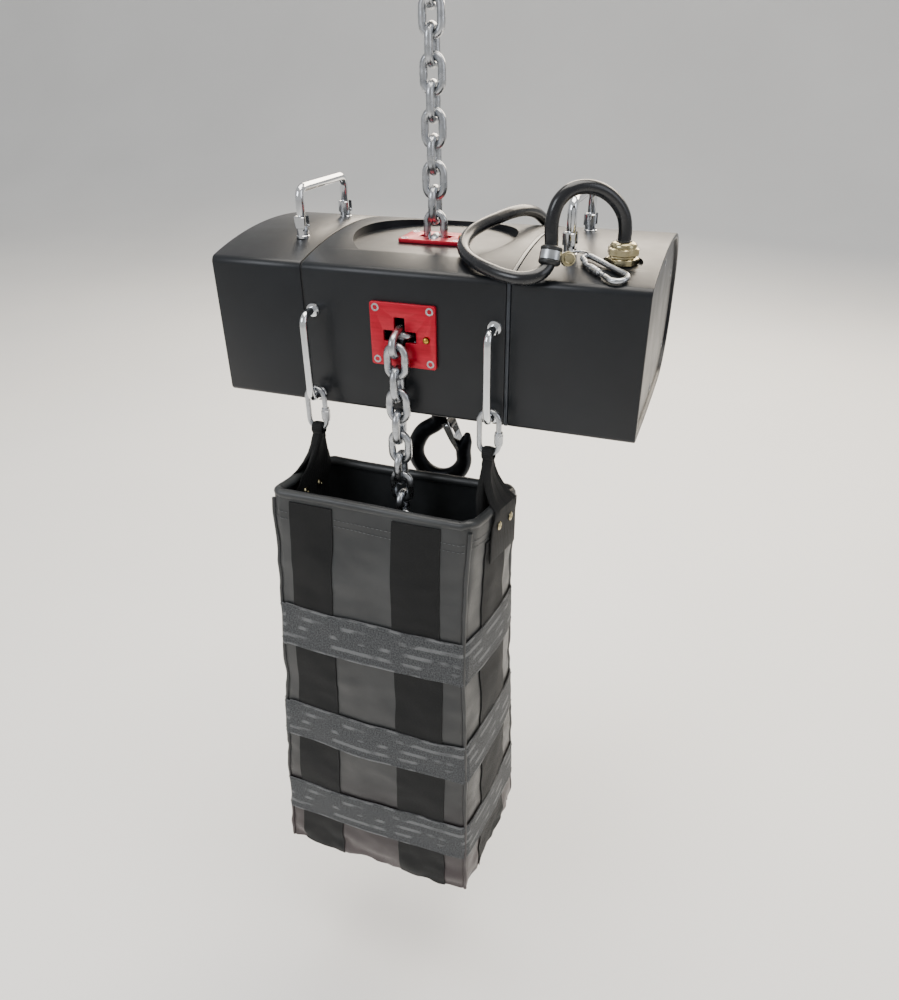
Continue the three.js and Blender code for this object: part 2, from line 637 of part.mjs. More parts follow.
function makeTopHook() {
  const { bottom, width, depth } = HOOK_BLOCK;
  const slot = CHAIN.halfWidth + CHAIN.wire / 2 + 1;
  const jacket = new THREE.ExtrudeGeometry(
    roundedRect(0, LOAD_LINE, width / 2, depth / 2, 6, 2),
    { depth: HOOK_BLOCK.height, bevelEnabled: false },
  ).translate(0, 0, bottom);
  const chainEnd = WHEEL.z + CHAIN.pitch * LINKS_UP;
  const roomTop = chainEnd + CHAIN.wire + 1;
  const chainRoom = block(-CHAIN.wire / 2 - 1.2, CHAIN.wire / 2 + 1.2,
    LOAD_LINE - slot, LOAD_LINE + slot, bottom - 1, roomTop);
  const pinRadius = 3.2;
  const pinZ = chainEnd - GAP - pinRadius - 0.4;
  const pin = bar([-width / 2 + 2, LOAD_LINE, pinZ], [width / 2 - 2, LOAD_LINE, pinZ], pinRadius, 10);
  const shankRoom = bar([0, LOAD_LINE, roomTop + 3], [0, LOAD_LINE, blockTop + 1], 8.4, 16);
  const nutRoom = block(-width, width, LOAD_LINE - 10.5, LOAD_LINE + 10.5, roomTop + 3, blockTop - 8);
  part('top_hook_block', join(cut(jacket, chainRoom, shankRoom, nutRoom), pin), 'hookBlack');

  const neck = topHookCentre - blockTop - 2;
  makeHook(TOP_HOOK, neck, 6.5, { hook: 'top_hook', latch: 'top_hook_latch' },
    { z: topHookCentre, flip: true, shank: 9, shankRadius: 8 }, 'chrome');
}

const housingBottom = bottomAt(LOAD_LINE);

function makeLoadHook() {
  const { radius, height, bore, spigot } = COLLAR;
  const top = housingBottom - GAP - 0.2;
  part('hook_collar', turned([
    [bore, top - height], [radius - 3, top - height], [radius, top - height + 3], [radius, top],
    [spigot, top], [spigot, top + WALL], [bore, top + WALL], [bore, top - height],
  ]).translate(0, LOAD_LINE, 0), 'castBlack');

  const nutRadius = 15;
  const nutHeight = 11;
  const floorNear = Math.max(bottomAt(LOAD_LINE - nutRadius), bottomAt(LOAD_LINE + nutRadius));
  const nutFrom = Math.max(floorNear, top) + WALL + 1;
  const neck = top - height - 1 - LOAD_HOOK.bowl;
  const shankTop = nutFrom + nutHeight + 2 - LOAD_HOOK.bowl - neck;
  makeHook(LOAD_HOOK, neck, 8, { hook: 'load_hook', latch: 'load_hook_latch' },
    { z: LOAD_HOOK.bowl, flip: false, shank: shankTop, shankRadius: bore - 0.4 }, 'chrome');
  const nut = bar([0, LOAD_LINE, nutFrom], [0, LOAD_LINE, nutFrom + nutHeight], nutRadius, 6);
  part('hook_nut', cut(
    nut, bar([0, LOAD_LINE, nutFrom - 1], [0, LOAD_LINE, nutFrom + nutHeight + 1], bore, 16),
  ), 'steel');
}

// ---------------------------------------------------------------- chain and wheel
function makeChain() {
  const held = loadChainJoints();
  const split = LINKS_UP - LINKS_ON_WHEEL;
  const drop = new THREE.Vector2(0, -RUN_PLAY);
  const hanging = held.slice(0, split + 1).map((joint) => joint.clone().add(drop));
  part('load_chain', chainRun(hanging, false), 'zinc');
  part('wheel_chain', chainRun(held.slice(split), split % 2 === 1), 'zinc');
  const joints = [];
  for (let n = 0; n <= SLACK_LINKS; n += 1) {
    joints.push(new THREE.Vector2(EXIT.y, EXIT.z + EXIT.lift - CHAIN.pitch * n));
  }
  part('slack_chain', chainRun(joints, true), 'zinc');
}

/** The chain wheel: four pockets for the flat links, a groove for the standing ones. */
function makeChainWheel() {
  const disc = bar([-WHEEL.halfWidth, wheelY, WHEEL.z], [WHEEL.halfWidth, wheelY, WHEEL.z],
    flangeRadius, 32);
  const standingDepth = CHAIN.halfWidth + CHAIN.wire / 2 + 1;
  const grooveFloor = wheelRadius * Math.cos(Math.PI / 8) - standingDepth;
  const sleeve = bar([-WHEEL.groove, wheelY, WHEEL.z], [WHEEL.groove, wheelY, WHEEL.z],
    flangeRadius + 1, 32);
  const core = bar([-WHEEL.groove - 1, wheelY, WHEEL.z], [WHEEL.groove + 1, wheelY, WHEEL.z],
    grooveFloor, 20);
  const grooved = cut(disc, cut(sleeve, core));
  const floor = wheelRadius * Math.cos(Math.PI / 8) - CHAIN.wire / 2 - 0.6;
  const pockets = [0, 1, 2, 3].map((k) => {
    const halfX = CHAIN.halfWidth + CHAIN.wire / 2 + 1;
    const halfT = linkHalf + CHAIN.wire / 2 + 1.2;
    const pocket = block(-halfX, halfX, floor, flangeRadius + 8, -halfT, halfT);
    pocket.rotateX((-67.5 * Math.PI) / 180 + (k * Math.PI) / 2);
    return pocket.translate(0, wheelY, WHEEL.z);
  });
  const bore = bar([-WHEEL.halfWidth - 1, wheelY, WHEEL.z], [WHEEL.halfWidth + 1, wheelY, WHEEL.z],
    WHEEL.bore, 20);
  part('chain_wheel', cut(grooved, ...pockets, bore), 'steel');
}

// ---------------------------------------------------------------- gears and motor
const pitchRadius = ({ teeth, module }) => (teeth * module) / 2;
const loadAxis = new THREE.Vector2(wheelY, WHEEL.z);
const motorAxis = new THREE.Vector2(LOAD_LINE + MOTOR.behind, MOTOR.z);
const layAxis = elbow(
  loadAxis, motorAxis,
  pitchRadius(LOAD_GEAR) + pitchRadius(LAY_PINION),
  pitchRadius(LAY_GEAR) + pitchRadius(ROTOR_PINION),
);

/** A spur gear's outline about its own axis with one tooth centred on `phase`. */
function gearOutline({ teeth, module }, phase) {
  const radius = (teeth * module) / 2;
  const pitchAngle = (2 * Math.PI) / teeth;
  const points = [];
  for (let tooth = 0; tooth < teeth; tooth += 1) {
    const middle = phase + tooth * pitchAngle;
    const corners = [[-0.29, -1.25], [-0.11, 0.95], [0.11, 0.95], [0.29, -1.25]];
    for (const [share, height] of corners) {
      const angle = middle + share * pitchAngle;
      const r = radius + height * module;
      points.push(new THREE.Vector2(r * Math.cos(angle), r * Math.sin(angle)));
    }
  }
  return new THREE.Shape(points);
}

function gearBlank(gear, axis, phase) {
  return alongX(gearOutline(gear, phase), gear.from, gear.to).translate(0, axis.x, axis.y);
}

const axleBar = (axis, x1, x2, radius, sides = 16) =>
  bar([x1, axis.x, axis.y], [x2, axis.x, axis.y], radius, sides);

/** Direction of one axis seen from another, as an angle in the (Y, Z) plane. */
const bearing = (from, to) => Math.atan2(to.y - from.y, to.x - from.x);

function makeGears() {
  const toLoad = bearing(layAxis, loadAxis);
  const toRotor = bearing(layAxis, motorAxis);
  part('load_gear', cut(
    gearBlank(LOAD_GEAR, loadAxis, toLoad + Math.PI + Math.PI / LOAD_GEAR.teeth),
    axleBar(loadAxis, LOAD_GEAR.from - 1, LOAD_GEAR.to + 1, SHAFT.load + GAP),
  ), 'steel');
  part('load_shaft', axleBar(loadAxis, SHAFT.outerEnd, BEARING_PLATE.to + 2, SHAFT.load), 'steel');
  part('layshaft', join(
    axleBar(layAxis, SHAFT.outerEnd, INNER_PLATE.to + 2, SHAFT.lay),
    gearBlank(LAY_PINION, layAxis, toLoad),
    gearBlank(LAY_GEAR, layAxis, toRotor),
  ), 'steel');
  const discPlate = axleBar(motorAxis, BRAKE.disc, BRAKE.discEnd, BRAKE.discRadius, 24);
  part('rotor_shaft', join(
    axleBar(motorAxis, SHAFT.outerEnd, BRAKE.end + 2, SHAFT.rotor),
    gearBlank(ROTOR_PINION, motorAxis, toRotor + Math.PI + Math.PI / ROTOR_PINION.teeth),
    discPlate,
  ), 'steel');
}

/** A ring about an axis along X. */
const ringX = (axis, x1, x2, outer, inner, sides = 24) =>
  cut(axleBar(axis, x1, x2, outer, sides), axleBar(axis, x1 - 1, x2 + 1, inner, sides));

function makeMotor() {
  part('motor_stator', ringX(motorAxis, MOTOR.from, MOTOR.to, MOTOR.stator, MOTOR.bore), 'copper');
  part('motor_rotor',
    ringX(motorAxis, MOTOR.from + 2, MOTOR.to - 2, MOTOR.rotor - GAP, SHAFT.rotor + GAP),
    'aluminium');
  const armatureFrom = BRAKE.discEnd + GAP;
  const armatureTo = armatureFrom + 3.4;
  const bore = SHAFT.rotor + 2;
  part('brake_armature',
    ringX(motorAxis, armatureFrom, armatureTo, BRAKE.discRadius, bore, 20), 'steel');
  part('brake_magnet',
    ringX(motorAxis, armatureTo + BRAKE.release + GAP, BRAKE.end, BRAKE.magnetRadius, bore, 20),
    'castBlack');
}

// ---------------------------------------------------------------- inner frame
function makeInnerFrame() {
  const through = (axis, plate, radius) =>
    axleBar(axis, plate.from - 1, plate.to + 1, radius + GAP);
  part('gearbox_inner_plate', cut(
    housingSlice(INNER_PLATE.from, INNER_PLATE.to, WALL + GAP),
    through(loadAxis, INNER_PLATE, SHAFT.load),
    through(layAxis, INNER_PLATE, SHAFT.lay),
    through(motorAxis, INNER_PLATE, SHAFT.rotor),
  ), 'aluminium');

  const plate = { front: 12, back: DEPTH - 38, bottom: 14 - FACE_HEIGHT, top: -14 };
  const postInset = 8;
  const posts = [plate.front + postInset, plate.back - postInset].flatMap((y) =>
    [plate.bottom + postInset, plate.top - postInset].map((z) =>
      bar([OUTER_PLATE.to - 1, y, z], [INNER_PLATE.from - GAP, y, z], 5, 10)));
  const slab = block(OUTER_PLATE.from, OUTER_PLATE.to, plate.front, plate.back,
    plate.bottom, plate.top);
  part('gearbox_outer_plate', cut(
    join(slab, ...posts),
    through(loadAxis, OUTER_PLATE, SHAFT.load),
    through(layAxis, OUTER_PLATE, SHAFT.lay),
    through(motorAxis, OUTER_PLATE, SHAFT.rotor),
  ), 'aluminium');

  const front = wheelY - flangeRadius - 8;
  const wheelSide = block(BEARING_PLATE.from, BEARING_PLATE.to,
    Math.max(front, WALL + GAP), motorAxis.x - MOTOR.stator - 3, WHEEL.z - 44, WHEEL.z + 62);
  part('wheel_bearing_plate', cut(wheelSide, through(loadAxis, BEARING_PLATE, SHAFT.load)),
    'aluminium');

  const guideHalf = CHAIN.halfWidth + CHAIN.wire / 2 + 1.1;
  const guideFront = wheelY - wheelRadius / 2 - 9;
  part('chain_guide', block(-guideHalf, guideHalf, guideFront, LOAD_LINE - 16,
    WHEEL.z + flangeRadius + 2, WHEEL.z + flangeRadius + 22), 'plastic');

  const back = DEPTH - 44;
  part('contactor_unit', join(
    block(rightCoverFrom + 20, rightCoverFrom + 65, back - 70, back, 30 - FACE_HEIGHT, -30),
    block(rightCoverFrom + 26, rightCoverFrom + 59, back - 64, back - 6, -31, -22),
  ), 'plastic');
}

// ---------------------------------------------------------------- cable, clamp and snap hook
// The lead goes up from the gland, arches over into the clamp, makes one loose turn over
// the front edge and the top, and hangs over the back.
const CABLE_ROUTE = [
  [180, 45.5, 27], [180, 45.5, 35], [178, 44.1, 46], [171.5, 39.4, 57.5], [161.5, 32.6, 66],
  [150, 24.6, 69.6], [139.4, 17.4, 67.6], [131.8, 12, 60], [128.6, 9.7, 50], [127.9, 9.1, 40],
  [128.4, 9.2, 30], [128.6, 7.4, 20], [127, 1.8, 11.4], [121, -6, 6.6], [110, -9.6, 4.6],
  [96, -7.6, 5.4], [82, -1.8, 7.4], [68.6, 6.8, 9.4], [56.5, 18.4, 11.8], [47, 33, 14.9],
  [42.8, 48.4, 18.2], [43, 64, 22], [48, 81, 25.6], [55.8, 100, 28.4], [63.6, 120, 30.4],
  [69.6, 140, 29.8], [73.8, 157, 26.6], [77, 171, 21.8], [80, 186.6, 13.6], [82, 202, 5.6],
  [83, 214.8, -6], [83.6, 224, -20.5], [84, 229.3, -37], [84, 230.6, -55], [84, 231, -80],
  [84, 231, -110], [84, 231, -140], [84, 231, -168],
];
const CLAMP_POINT = 11; // the clamp grips the cable at this point of its route
const cableCurve = new THREE.CatmullRomCurve3(
  CABLE_ROUTE.map((point) => new THREE.Vector3(...point)),
);

function makeCable() {
  const { x, y, acrossFlats, thread, floor, top } = GLAND;
  const seat = floor + GAP;
  const hexRadius = acrossFlats / 2 / Math.cos(Math.PI / 6);
  const hex = bar([x, y, seat], [x, y, seat + 6], hexRadius, 6);
  const waist = bar([x, y, seat + 5], [x, y, seat + 8], 10.5, 16);
  const nut = bar([x, y, seat + 7.5], [x, y, seat + 13.5], hexRadius, 6);
  const dome = bar([x, y, seat + 13], [x, y, top], 10.8, 16, 7);
  const roof = Math.min(floor - WALL - 1, topAt(y - hexRadius - 1) - WALL) - GAP;
  const stem = bar([x, y, roof - 2.6], [x, y, seat + 1], thread, 16);
  const locknut = bar([x, y, roof - 2.6], [x, y, roof], hexRadius + 1, 6);
  const bore = bar([x, y, roof - 4], [x, y, top + 1], 3.5, 10);
  part('cable_gland', cut(join(hex, waist, nut, dome, stem, locknut), bore), 'nickel');

  part('power_cable', sweep(cableCurve, CABLE.diameter / 2, CABLE.sides, CABLE.steps), 'rubber');

  const end = CABLE_ROUTE[CABLE_ROUTE.length - 1];
  part('cable_connector', turned([
    [0, -54], [11.5, -54], [13.5, -52], [13.5, -31], [11, -30], [11, -16], [8, 0], [0, 0],
  ], 16).translate(end[0], end[1], end[2] - GAP), 'plastic');
}

/** The steel band on the rising cable with its rubber, and the bolt through its ears. */
function makeClamp() {
  const share = CLAMP_POINT / (CABLE_ROUTE.length - 1);
  const group = new THREE.Group();
  group.position.copy(cableCurve.getPoint(share));
  group.quaternion.setFromUnitVectors(
    new THREE.Vector3(0, 0, -1), cableCurve.getTangent(share).normalize(),
  );
  hoist.add(group);
  const { half, slack, band, earLength, earHalf, boltAt, turn } = CLAMP;
  const inner = CABLE.diameter / 2 + slack;
  const ring = bar([0, 0, -half], [0, 0, half], inner + band, 16);
  const ear = block(0, earLength, -earHalf, earHalf, -half, half).rotateZ(turn);
  const bore = bar([0, 0, -half - 1], [0, 0, half + 1], inner, 16);
  const centre = new THREE.Vector3(boltAt * Math.cos(turn), boltAt * Math.sin(turn), 0);
  const axis = new THREE.Vector3(Math.sin(turn), -Math.cos(turn), 0);
  const along = (distance) => centre.clone().addScaledVector(axis, distance).toArray();
  const hole = bar(along(-earHalf - 1), along(earHalf + 1), 2.4 + GAP, 10);
  part('cable_clamp', cut(join(ring, ear), bore, hole), 'castBlack', group);
  part('clamp_bolt', join(
    bar(along(-earHalf - 4), along(earHalf + 5), 2.4, 8),
    bar(along(earHalf + GAP), along(earHalf + 3.8), 5.2, 6),
    bar(along(-earHalf - 3.8), along(-earHalf - GAP), 5.2, 6),
  ), 'nickel', group);
}

const CLAMP = {
  half: 5, slack: 1.3, band: 2.3, earLength: 20, earHalf: 2.4, boltAt: 14.5, turn: 0.5,
};
const SNAP = { x: 168.5, y: 24.5, length: 58, width: 20, wire: 4.6, gate: 30 };

/** The snap hook that lies on the right cover, with its sprung gate. */
function makeSnapHook() {
  const group = new THREE.Group();
  const { y } = SNAP;
  const slope = Math.atan2(DEPTH / 2 - y, topAt(y) - TOP_ARC.z);
  group.position.set(SNAP.x, y, topAt(y) + SNAP.wire / 2 + 0.8);
  group.rotation.set(slope, 0, -0.78);
  hoist.add(group);
  const half = SNAP.length / 2 - SNAP.wire / 2;
  const wide = SNAP.width / 2 - SNAP.wire / 2;
  const gate = SNAP.gate / 2;
  const frame = bentRod([
    [gate - 2, -wide, 0], [half, -wide, 0], [half, wide, 0], [-half, wide * 0.5, 0],
    [-half, -wide * 0.5, 0], [-gate - 1, -wide, 0],
  ], 6, SNAP.wire / 2, 6, 2);
  part('snap_hook', frame, 'zinc', group);
  part('snap_hook_gate', join(
    bar([-gate + 1.5, -wide, 0], [gate - 4.5, -wide, 0], SNAP.wire / 2 - 0.4, 8),
    bar([-gate + 7, -wide, 0], [gate - 9, -wide, 0], SNAP.wire / 2 + 0.6, 8),
  ), 'zinc', group);
}

// ---------------------------------------------------------------- bag
/** Half width, half depth and middle of the bag at a share of its height from the rim. */
function bagSection(share) {
  const swell = Math.sin(Math.min(share, 1) * Math.PI * 0.5);
  return {
    halfWidth: BAG.halfWidth - 4 * Math.sin(Math.PI * Math.min(share * 1.6, 1)) + 9 * share ** 2,
    halfDepth: BAG.halfDepth + 28 * swell,
    y: BAG.y - 7 * share,
  };
}

/** A closed form of the bag between two shares of its height, moved inwards by `inset`. */
function bagForm(from, to, inset, steps) {
  const height = BAG.rim - BAG.bottom;
  const unit = new THREE.ExtrudeGeometry(
    roundedRect(0, 0, BAG.halfWidth, BAG.halfDepth, BAG.corner, 2),
    { depth: 1, steps, bevelEnabled: false },
  );
  const place = unit.attributes.position;
  for (let i = 0; i < place.count; i += 1) {
    const share = to + (from - to) * place.getZ(i);
    const at = bagSection(share);
    place.setXYZ(
      i,
      (place.getX(i) / BAG.halfWidth) * (at.halfWidth - inset),
      at.y + (place.getY(i) / BAG.halfDepth) * (at.halfDepth - inset),
      BAG.rim - share * height,
    );
  }
  return unit;
}

function makeBag() {
  const height = BAG.rim - BAG.bottom;
  const below = (RIM_TUBE + 1) / height; // the skin starts under the rim tube
  part('bag_shell', cut(
    bagForm(below, 1, 0, 5),
    bagForm(below - 0.01, 1 - BAG.skin / height, BAG.skin, 5),
  ), 'bagPlastic');

  const rimPath = roundedRect(0, BAG.y, BAG.halfWidth - RIM_TUBE / 2, BAG.halfDepth - RIM_TUBE / 2, 12);
  const ring = rimPath.getPoints(1).map((point) => new THREE.Vector3(point.x, point.y, BAG.rim - 4.4));
  const closed = new THREE.CatmullRomCurve3(ring, true, 'catmullrom', 0.15);
  part('bag_rim', new THREE.ExtrudeGeometry(
    new THREE.Shape(circlePoints(0, 0, RIM_TUBE / 2, 6)),
    { steps: 32, bevelEnabled: false, extrudePath: closed },
  ), 'bagPlastic');

  const pileFrom = (BAG.rim - PILE_TOP) / height;
  const dome = bagForm(pileFrom, pileFrom + 0.06, 34, 1);
  part('chain_pile', join(dome, bagForm(pileFrom + 0.05, 1 - 8 / height, 12, 3)), 'zinc');
}

/** The webbing from a quick link down the side of the bag. */
function makeStrap(side, sign) {
  const wireZ = QUICK_LINK.top - QUICK_LINK.length;
  const x = sign * BAG_HANDLE.x;
  const sideX = sign * (BAG.halfWidth + GAP + 0.7);
  const eye = cut(
    bar([x - 3, QUICK_LINK.y, wireZ], [x + 3, QUICK_LINK.y, wireZ], 7, 14),
    bar([x - 4, QUICK_LINK.y, wireZ], [x + 4, QUICK_LINK.y, wireZ], 4, 12),
  );
  const thick = 2.4 * sign;
  const eyeBottom = wireZ - 5;
  const low = BAG.rim - 58;
  const outline = new THREE.Shape([
    new THREE.Vector2(x - 1.2 * sign, eyeBottom),
    new THREE.Vector2(x + 1.6 * sign, eyeBottom),
    new THREE.Vector2(sideX + thick, BAG.rim - 2),
    new THREE.Vector2(sideX + thick, low),
    new THREE.Vector2(sideX, low),
    new THREE.Vector2(sideX, BAG.rim - 1),
  ]);
  const band = alongY(outline, QUICK_LINK.y - 13, QUICK_LINK.y + 13);
  part(`${side}_strap`, join(eye, band), 'webbing');
}

/** The threaded link between a bag handle and its strap, with its screw sleeve. */
function makeQuickLink(side, sign) {
  const { wire, halfWidth, top, length, y } = QUICK_LINK;
  const x = sign * BAG_HANDLE.x;
  const middle = top - length / 2;
  const straight = length / 2 - halfWidth;
  const eighth = Math.PI / 8;
  const ring = new THREE.TorusGeometry(halfWidth / Math.cos(eighth), wire / 2, 8, 8);
  ring.rotateZ(eighth);
  const place = ring.attributes.position;
  for (let i = 0; i < place.count; i += 1) {
    place.setY(i, place.getY(i) + Math.sign(place.getY(i)) * straight);
  }
  ring.rotateX(Math.PI / 2).translate(x, y, middle);
  const sideX = x + halfWidth;
  const mouth = middle - 5;
  part(`${side}_quick_link`,
    cut(ring, block(sideX - wire, sideX + wire, y - wire, y + wire, mouth - 2, mouth + 2)), 'zinc');
  part(`${side}_link_sleeve`, cut(
    bar([sideX, y, mouth - 6.5], [sideX, y, mouth + 6.5], 4.6, 6),
    bar([sideX, y, mouth - 8], [sideX, y, mouth + 8], wire / 2 + GAP, 12),
  ), 'zinc');
}

// ---------------------------------------------------------------- assembly
makeHousing();
makeChainPlates();
makeLimits();
makeFoldingHandle('left', LEFT_HANDLE_X);
makeFoldingHandle('right', RIGHT_HANDLE_X);
makeBagHandle('left', -1);
makeBagHandle('right', 1);
makeTopHook();
makeLoadHook();
makeChain();
makeChainWheel();
makeGears();
makeMotor();
makeInnerFrame();
makeCable();
makeClamp();
makeSnapHook();
makeBag();
makeStrap('left', -1);
makeStrap('right', 1);
makeQuickLink('left', -1);
makeQuickLink('right', 1);

hoist.position.set(0, -LOAD_LINE, -TOP_HOOK.seat);

export default hoist;
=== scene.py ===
"""Looks of the electric chain hoist: smooth pieces, finishes, light and camera round the fixed frame."""

import json
import math
import random

import bmesh
import bpy
from mathutils import Matrix, Vector, noise


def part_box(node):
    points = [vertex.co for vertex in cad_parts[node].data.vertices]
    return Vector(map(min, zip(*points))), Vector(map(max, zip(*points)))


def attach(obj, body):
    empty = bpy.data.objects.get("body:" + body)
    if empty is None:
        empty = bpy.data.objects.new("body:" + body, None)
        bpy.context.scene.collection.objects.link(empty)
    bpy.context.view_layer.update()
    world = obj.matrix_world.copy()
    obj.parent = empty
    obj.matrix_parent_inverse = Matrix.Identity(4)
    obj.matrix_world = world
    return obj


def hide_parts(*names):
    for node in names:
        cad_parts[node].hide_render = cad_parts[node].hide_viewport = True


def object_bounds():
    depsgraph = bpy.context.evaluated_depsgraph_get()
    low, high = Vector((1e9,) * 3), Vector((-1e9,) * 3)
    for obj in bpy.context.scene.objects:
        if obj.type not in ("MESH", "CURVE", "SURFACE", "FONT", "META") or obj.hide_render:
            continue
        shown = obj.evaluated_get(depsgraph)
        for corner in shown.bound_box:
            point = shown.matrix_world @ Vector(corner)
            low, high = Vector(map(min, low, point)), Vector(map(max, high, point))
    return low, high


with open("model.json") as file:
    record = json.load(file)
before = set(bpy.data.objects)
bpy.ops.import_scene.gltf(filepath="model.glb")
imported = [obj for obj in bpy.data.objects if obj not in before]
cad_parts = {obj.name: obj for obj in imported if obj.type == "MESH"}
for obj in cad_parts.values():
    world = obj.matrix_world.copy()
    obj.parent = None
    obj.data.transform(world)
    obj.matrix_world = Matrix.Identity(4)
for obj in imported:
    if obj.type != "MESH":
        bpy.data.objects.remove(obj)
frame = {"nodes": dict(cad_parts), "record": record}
CAD_BOX = [list(corner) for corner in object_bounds()]

# Sizes below are in millimetres from the front top edge of the housing, in the chain's plane:
# X along the housing, Y back from the front face, Z up.
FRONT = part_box("front_chain_plate")[1].y + 0.0003
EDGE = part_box("top_chain_plate")[0].z - 0.0083


def at(x, y, z):
    """A point in metres in the frame."""
    return Vector((x / 1000, FRONT + y / 1000, EDGE + z / 1000))


# ---------------------------------------------------------------- colours and node helpers
def linear(code):
    """The linear colour of an sRGB hex code."""
    values = [int(code[i : i + 2], 16) / 255 for i in (1, 3, 5)]
    return [v / 12.92 if v <= 0.04045 else ((v + 0.055) / 1.055) ** 2.4 for v in values] + [1.0]


class Finish:
    """A material under construction: nodes are added and linked by name."""

    def __init__(self, name, colour, roughness, metallic=0.0, coat=0.0):
        self.material = bpy.data.materials.new(name)
        self.material.use_nodes = True
        self.tree = self.material.node_tree
        self.shader = self.tree.nodes["Principled BSDF"]
        self.set("Base Color", linear(colour))
        self.set("Roughness", roughness)
        self.set("Metallic", metallic)
        self.set("Coat Weight", coat)
        self.set("Coat Roughness", 0.12)
        self.place = self.add("ShaderNodeTexCoord")

    def set(self, socket, value):
        self.shader.inputs[socket].default_value = value

    def add(self, kind, inputs=(), **settings):
        """A node with its settings and its inputs, each a value or another node's output."""
        node = self.tree.nodes.new(kind)
        for key, value in settings.items():
            setattr(node, key, value)
        for key, value in dict(inputs).items():
            if isinstance(value, bpy.types.NodeSocket):
                self.tree.links.new(value, node.inputs[key])
            else:
                node.inputs[key].default_value = value
        return node

    def link(self, output, socket):
        self.tree.links.new(output, self.shader.inputs[socket])

    def grain(self, size, detail=3.0, where="Object", stretch=(1, 1, 1)):
        """Noise with features of the given size in millimetres, 0 to 1."""
        mapped = self.add(
            "ShaderNodeMapping", {"Vector": self.place.outputs[where], "Scale": stretch}
        )
        found = self.add(
            "ShaderNodeTexNoise",
            {"Vector": mapped.outputs[0], "Scale": 1000 / size, "Detail": detail},
        )
        return found.outputs["Fac"]

    def spread(self, value, low, high, start=0.3, end=0.7):
        """A value from start to end, spread from low to high."""
        node = self.add(
            "ShaderNodeMapRange",
            {"Value": value, "From Min": start, "From Max": end, "To Min": low, "To Max": high},
        )
        return node.outputs["Result"]

    def shade(self, value, first, second, start=0.3, end=0.7):
        """A colour between two hex codes."""
        ramp = self.add("ShaderNodeValToRGB", {"Fac": value})
        ramp.color_ramp.elements[0].position = start
        ramp.color_ramp.elements[1].position = end
        ramp.color_ramp.elements[0].color = linear(first)
        ramp.color_ramp.elements[1].color = linear(second)
        return ramp.outputs["Color"]

    def waves(self, period, way):
        """Bands across X or Y of the UV map, one in each period of millimetres, 0 to 1."""
        found = self.add(
            "ShaderNodeTexWave",
            {"Vector": self.place.outputs["UV"], "Scale": 1000 * 2 * math.pi / 20 / period},
            bands_direction=way,
        )
        return found.outputs["Fac"]

    def mix(self, factor, first, second):
        """A colour between two, each a value or another node's output."""
        node = self.add("ShaderNodeMix", data_type="RGBA")
        self.tree.links.new(factor, node.inputs[0])
        for socket, value in ((6, first), (7, second)):
            if isinstance(value, bpy.types.NodeSocket):
                self.tree.links.new(value, node.inputs[socket])
            else:
                node.inputs[socket].default_value = value
        return node.outputs[2]

    def sum(self, operation, first, second=0.0):
        """One step of arithmetic on two numbers."""
        node = self.add("ShaderNodeMath", {0: first, 1: second}, operation=operation)
        return node.outputs[0]

    def bump(self, height, depth, strength=1.0):
        """Relief of the given depth in millimetres."""
        node = self.add(
            "ShaderNodeBump",
            {"Height": height, "Distance": depth / 1000, "Strength": strength},
        )
        self.link(node.outputs["Normal"], "Normal")


def powder_coat():
    """Satin black powder coat on aluminium: a fine orange peel and a faint mottle."""
    finish = Finish("satin_black_powder_coat", "#0E1013", 0.36, 0.0, 0.05)
    mottle = finish.grain(60, 4)
    finish.link(finish.shade(mottle, "#0A0D12", "#101419"), "Base Color")
    finish.set("Specular IOR Level", 0.4)
    finish.link(finish.spread(finish.grain(24, 5), 0.33, 0.41), "Roughness")
    finish.bump(finish.grain(0.9, 2), 0.018, 0.5)
    return finish.material


def cast_black():
    """Black painted casting: a grainy skin with a little shine."""
    finish = Finish("black_cast_metal", "#2A2C2F", 0.45, 0.3)
    finish.link(finish.shade(finish.grain(5, 4), "#232528", "#33363A"), "Base Color")
    finish.bump(finish.grain(0.7, 3), 0.06, 0.6)
    return finish.material


def seam_strip():
    """A dull dark sealing strip."""
    finish = Finish("dark_sealing_strip", "#0C0C0D", 0.7)
    finish.link(finish.shade(finish.grain(3, 3), "#090909", "#121213"), "Base Color")
    finish.bump(finish.grain(0.5, 2), 0.03, 0.6)
    return finish.material


def joint_band():
    """A painted metal band, a shade lighter than the housing."""
    finish = Finish("painted_joint_band", "#30343A", 0.3, 0.3, 0.2)
    finish.link(finish.shade(finish.grain(9, 4), "#292D32", "#3A3F46"), "Base Color")
    finish.bump(finish.grain(0.8, 2), 0.02, 0.5)
    return finish.material


def red_anodised():
    """Red anodised aluminium, brushed along X before it was dyed."""
    finish = Finish("red_anodised_aluminium", "#C4122B", 0.34, 0.45, 0.15)
    brushed = finish.grain(2.2, 4, stretch=(0.12, 1, 1))
    finish.link(finish.shade(brushed, "#AE0522", "#C40B2E"), "Base Color")
    finish.link(finish.spread(finish.grain(12, 4), 0.28, 0.4), "Roughness")
    finish.bump(brushed, 0.01, 0.5)
    return finish.material


def polished(name, first, second, low, high, size=6.0):
    """A bright plated metal with faint clouding and fine scratches."""
    finish = Finish(name, first, low, 1.0)
    finish.link(finish.shade(finish.grain(size, 4), first, second), "Base Color")
    finish.link(finish.spread(finish.grain(size * 0.6, 5), low, high), "Roughness")
    finish.bump(finish.grain(0.35, 2, stretch=(1, 1, 0.2)), 0.006, 0.5)
    return finish.material


